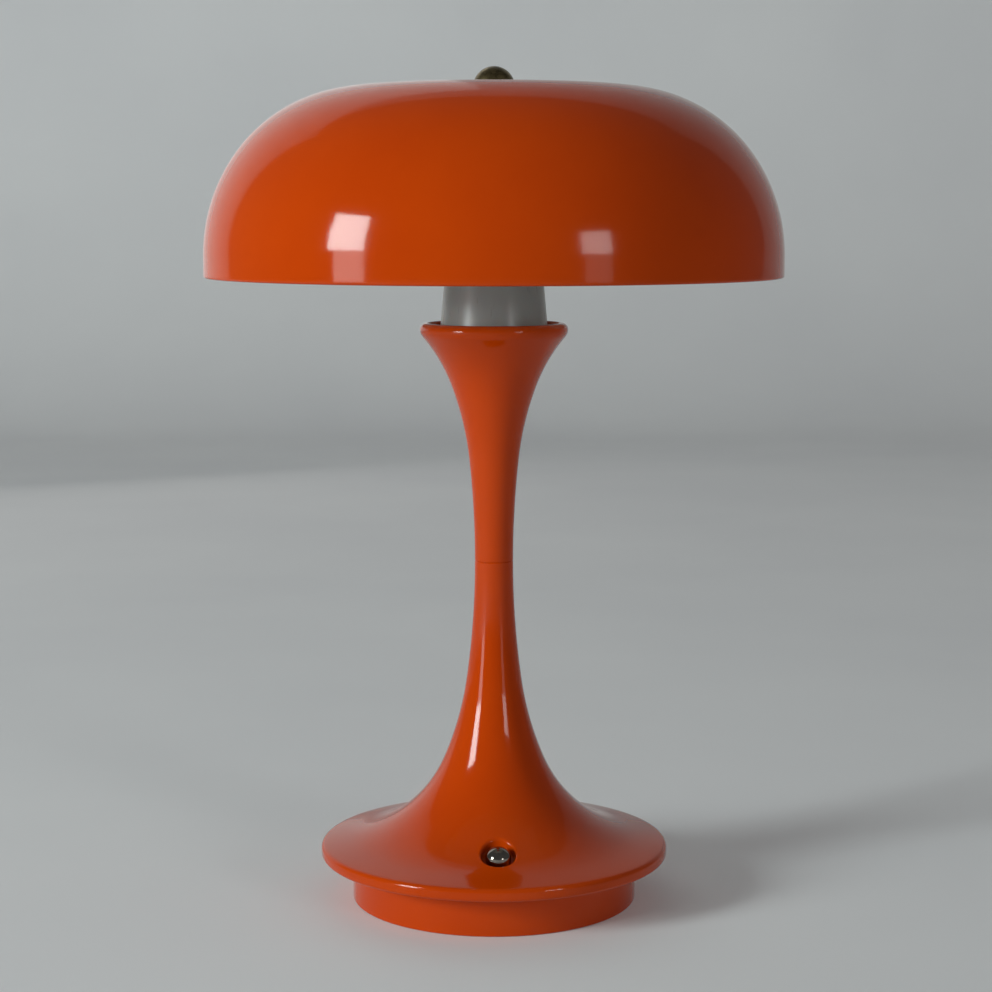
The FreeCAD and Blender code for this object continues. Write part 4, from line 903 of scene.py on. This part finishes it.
def cut_slot(plinth):
    """The rounded slot for the charging inlet, all through the wall."""
    middle_z = (PORT_LOW.z + PORT_HIGH.z) / 2
    radius = (PORT_HIGH.z - PORT_LOW.z) / 2 + SLOT_PLAY
    half_flat = (PORT_HIGH.x - PORT_LOW.x) / 2 + SLOT_PLAY - radius
    cutter = lying_cutter(48, radius, SLOT_DEPTH, (0.0, PORT_HIGH.y - SLOT_SETBACK, middle_z))
    for side in (-1.0, 1.0):
        pick(cutter, lambda p: p.x * side > 0.01 * MM, "VERT")
        bpy.ops.transform.translate(value=(side * half_flat, 0.0, 0.0))
        leave()
    subtract(plinth, cutter)


def cut_pipe_hole(plinth):
    subtract(plinth, lying_cutter(32, PIPE_HOLE, PIPE_HOLE_DEPTH, (PIPE_LOW + PIPE_HIGH) / 2))


# ---------------------------------------------------------------- button

BUTTON_AROUND = 96
BUTTON_STEM = 1.8 * MM
BUTTON_SIDE = 3.9 * MM
BUTTON_DOME = 3.6 * MM
BUTTON_EDGE = 0.25 * MM
CLIP_GROOVE = 1.3 * MM
CLIP_PLAY = 0.05 * MM
RECESS_INNER = 2.3 * MM     # the ring-shaped recess that holds the spring
RECESS_OUTER = 4.3 * MM
RECESS_DEPTH = 2.3 * MM


def make_button():
    """A domed cap on a stem with a groove for its clip."""
    radius = (BUTTON_HIGH.x - BUTTON_LOW.x) / 2
    clip_low, clip_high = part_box("button_clip")
    cap_bottom = BUTTON_HIGH.z - BUTTON_DOME - BUTTON_SIDE
    recess_top = cap_bottom + RECESS_DEPTH
    dome_radius = (radius ** 2 + BUTTON_DOME ** 2) / (2 * BUTTON_DOME)
    dome_angle = math.degrees(math.asin(radius / dome_radius))
    section = Section(0.0, BUTTON_LOW.z, 0.0)
    section.to(BUTTON_STEM, BUTTON_LOW.z)
    section.to(BUTTON_STEM, clip_low.z - CLIP_PLAY)
    section.to(CLIP_GROOVE, clip_low.z - CLIP_PLAY)
    section.to(CLIP_GROOVE, clip_high.z + CLIP_PLAY)
    section.to(BUTTON_STEM, clip_high.z + CLIP_PLAY)
    section.to(BUTTON_STEM, cap_bottom)
    section.to(RECESS_INNER, cap_bottom)
    section.to(RECESS_INNER, recess_top)
    section.to(RECESS_OUTER, recess_top)
    section.to(RECESS_OUTER, cap_bottom)
    section.to(radius - BUTTON_EDGE, cap_bottom)
    section.curve(BUTTON_EDGE, 90.0)
    section.to(radius, cap_bottom + BUTTON_SIDE, 3)
    section.turn(90.0 - dome_angle)
    section.curve(dome_radius, dome_angle, FINE_STEP)
    button = turned("button_dome", section, BUTTON_AROUND, (DIMPLE_PLACE.x, DIMPLE_PLACE.y))
    coat(button, CHROME)
    stand_for(button, "button_cap", "button")


# ---------------------------------------------------------------- pieces kept from the model

KEPT_FINISHES = {
    "finial_washer": WHITE_PLASTIC, "switch_plunger": WHITE_PLASTIC,
    "charge_indicator": WHITE_PLASTIC, "led_heat_sink": ALUMINIUM, "led_board": WHITE_BOARD,
    "led_chips": PHOSPHOR, "main_board": GREEN_BOARD, "switch_board": GREEN_BOARD,
    "bottom_cover": BLACK_PLASTIC, "battery_cradle": BLACK_PLASTIC,
    "board_components": BLACK_PLASTIC, "switch_body": BLACK_PLASTIC, "foot_pad": RUBBER,
    "battery_cell": CELL_WRAP, "led_cable": WIRE_SLEEVE, "battery_leads": WIRE_SLEEVE,
    "switch_leads": WIRE_SLEEVE,
}


def finish_kept_pieces():
    """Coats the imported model's own pieces; what isn't listed above is plated steel."""
    for name, piece in frame["nodes"].items():
        coat(piece, KEPT_FINISHES.get(name, STEEL))


# ---------------------------------------------------------------- camera, light and stage

CAMERA_DISTANCE = 866.3 * MM
CAMERA_HEIGHT = 267.1 * MM
CAMERA_SIDE = 0.77 * MM
CAMERA_TURN = -2.1
CAMERA_PITCH = 7.178
FOCAL_PIXELS = 2260.3
PICTURE_PIXELS = 992
SENSOR = 36.0

AIM_HEIGHT = 260.0 * MM
WORLD_STRENGTH = 0.11

FLOOR_SIZE = 6.0            # the stage's sizes are in metres
FLOOR_MIDDLE = -1.2
FLOOR_BACK = 1.5            # only the floor's back edge lies past this
BEND_RADIUS = 0.5
BEND_STEPS = 12
BACKDROP_HEIGHT = 3.0
STAGE_GLOW = 0.06


def make_camera():
    data = bpy.data.cameras.new("camera")
    data.sensor_width = SENSOR
    data.lens = FOCAL_PIXELS * SENSOR / PICTURE_PIXELS
    camera = bpy.data.objects.new("camera", data)
    turn = math.radians(CAMERA_TURN)
    camera.location = (
        CAMERA_SIDE * math.cos(turn) + CAMERA_DISTANCE * math.sin(turn),
        CAMERA_SIDE * math.sin(turn) - CAMERA_DISTANCE * math.cos(turn),
        CAMERA_HEIGHT)
    camera.rotation_euler = (math.radians(90.0 - CAMERA_PITCH), 0.0, turn)
    bpy.context.scene.collection.objects.link(camera)
    bpy.context.scene.camera = camera


def soft_box(name, azimuth, low, high, width, distance, power, colour):
    """A flat upright light that faces the lamp.

    azimuth, low, high and width are in degrees as seen from the shade, with azimuth
    measured from the camera's side. distance is in metres and power in watts.
    """
    angle = math.radians(azimuth + CAMERA_TURN)
    low_z = AIM_HEIGHT + distance * math.tan(math.radians(low))
    high_z = AIM_HEIGHT + distance * math.tan(math.radians(high))
    data = bpy.data.lights.new(name, "AREA")
    data.shape = "RECTANGLE"
    data.size = 2.0 * distance * math.tan(math.radians(width / 2))
    data.size_y = high_z - low_z
    data.energy = power
    data.color = colour
    light = bpy.data.objects.new(name, data)
    light.location = (distance * math.sin(angle), -distance * math.cos(angle),
                      (low_z + high_z) / 2)
    light.rotation_euler = (math.radians(90.0), 0.0, angle)
    bpy.context.scene.collection.objects.link(light)


def make_lights():
    soft_box("left_high", azimuth=-57.2, low=4.6, high=23.0, width=15.6, distance=2.6,
             power=58.0, colour=(0.9, 1.0, 1.0))
    soft_box("left_low", azimuth=-55.6, low=-5.5, high=4.4, width=13.0, distance=2.6,
             power=6.4, colour=(1.0, 0.93, 0.90))
    soft_box("left_fill", azimuth=-150.0, low=-6.0, high=48.0, width=56.0, distance=1.4,
             power=2.3, colour=(1.0, 0.98, 0.96))
    soft_box("right_high", azimuth=38.7, low=3.3, high=15.7, width=12.0, distance=2.6,
             power=8.8, colour=(0.96, 1.0, 1.0))
    soft_box("right_low", azimuth=39.3, low=-5.5, high=3.1, width=10.5, distance=2.6,
             power=0.95, colour=(1.0, 0.94, 0.92))


def make_world():
    world = bpy.data.worlds.new("studio")
    world.use_nodes = True
    background = world.node_tree.nodes["Background"]
    background.inputs["Color"].default_value = (1.0, 1.0, 1.0, 1.0)
    background.inputs["Strength"].default_value = WORLD_STRENGTH
    bpy.context.scene.world = world


def pale_card():
    """Matt card that glows a little to the eye and in reflections, and lights nothing."""
    finish = Finish("pale_card", Roughness=0.9, Specular_IOR_Level=0.1)
    cloud = finish.noise(3.0)
    finish.colour(finish.mix(cloud.over(0.3, 0.7), linear(222, 222, 223), linear(229, 229, 229)))
    ray = finish.node("ShaderNodeLightPath").outputs
    seen = Signal(finish, ray["Is Camera Ray"]) + Signal(finish, ray["Is Glossy Ray"])
    seen = seen + Signal(finish, ray["Is Transmission Ray"])
    glow = finish.node("ShaderNodeEmission", None,
                       {"Color": linear(255, 255, 255), "Strength": seen * STAGE_GLOW})
    both = finish.node("ShaderNodeAddShader")
    finish.tree.links.new(finish.shader.outputs[0], both.inputs[0])
    finish.tree.links.new(glow.outputs[0], both.inputs[1])
    finish.tree.links.new(both.outputs[0], finish.output.inputs[0])
    return finish.material


def make_stage():
    """A pale floor that curves up into a pale backdrop."""
    clear_selection()
    bpy.ops.mesh.primitive_plane_add(size=FLOOR_SIZE, location=(0.0, FLOOR_MIDDLE, 0.0))
    sweep = bpy.context.object
    sweep.name = "sweep"
    settle(sweep)
    pick(sweep, lambda a, b: min(a.y, b.y) > FLOOR_BACK, "EDGE")
    step = BEND_RADIUS * math.radians(90.0 / BEND_STEPS)
    for number in range(BEND_STEPS):
        angle = math.radians(90.0 * (number + 0.5) / BEND_STEPS)
        pull(0.0, step * math.cos(angle), step * math.sin(angle))
    pull(0.0, 0.0, BACKDROP_HEIGHT)
    leave()
    smooth(sweep, 60.0)
    coat(sweep, pale_card())


finish_kept_pieces()
make_shade()
make_finial()
make_carrier()
make_tube()
make_collar()
make_stem()
make_foot()
make_plinth()
make_button()
make_camera()
make_lights()
make_world()
make_stage()
bpy.context.scene.view_settings.view_transform = "Standard"
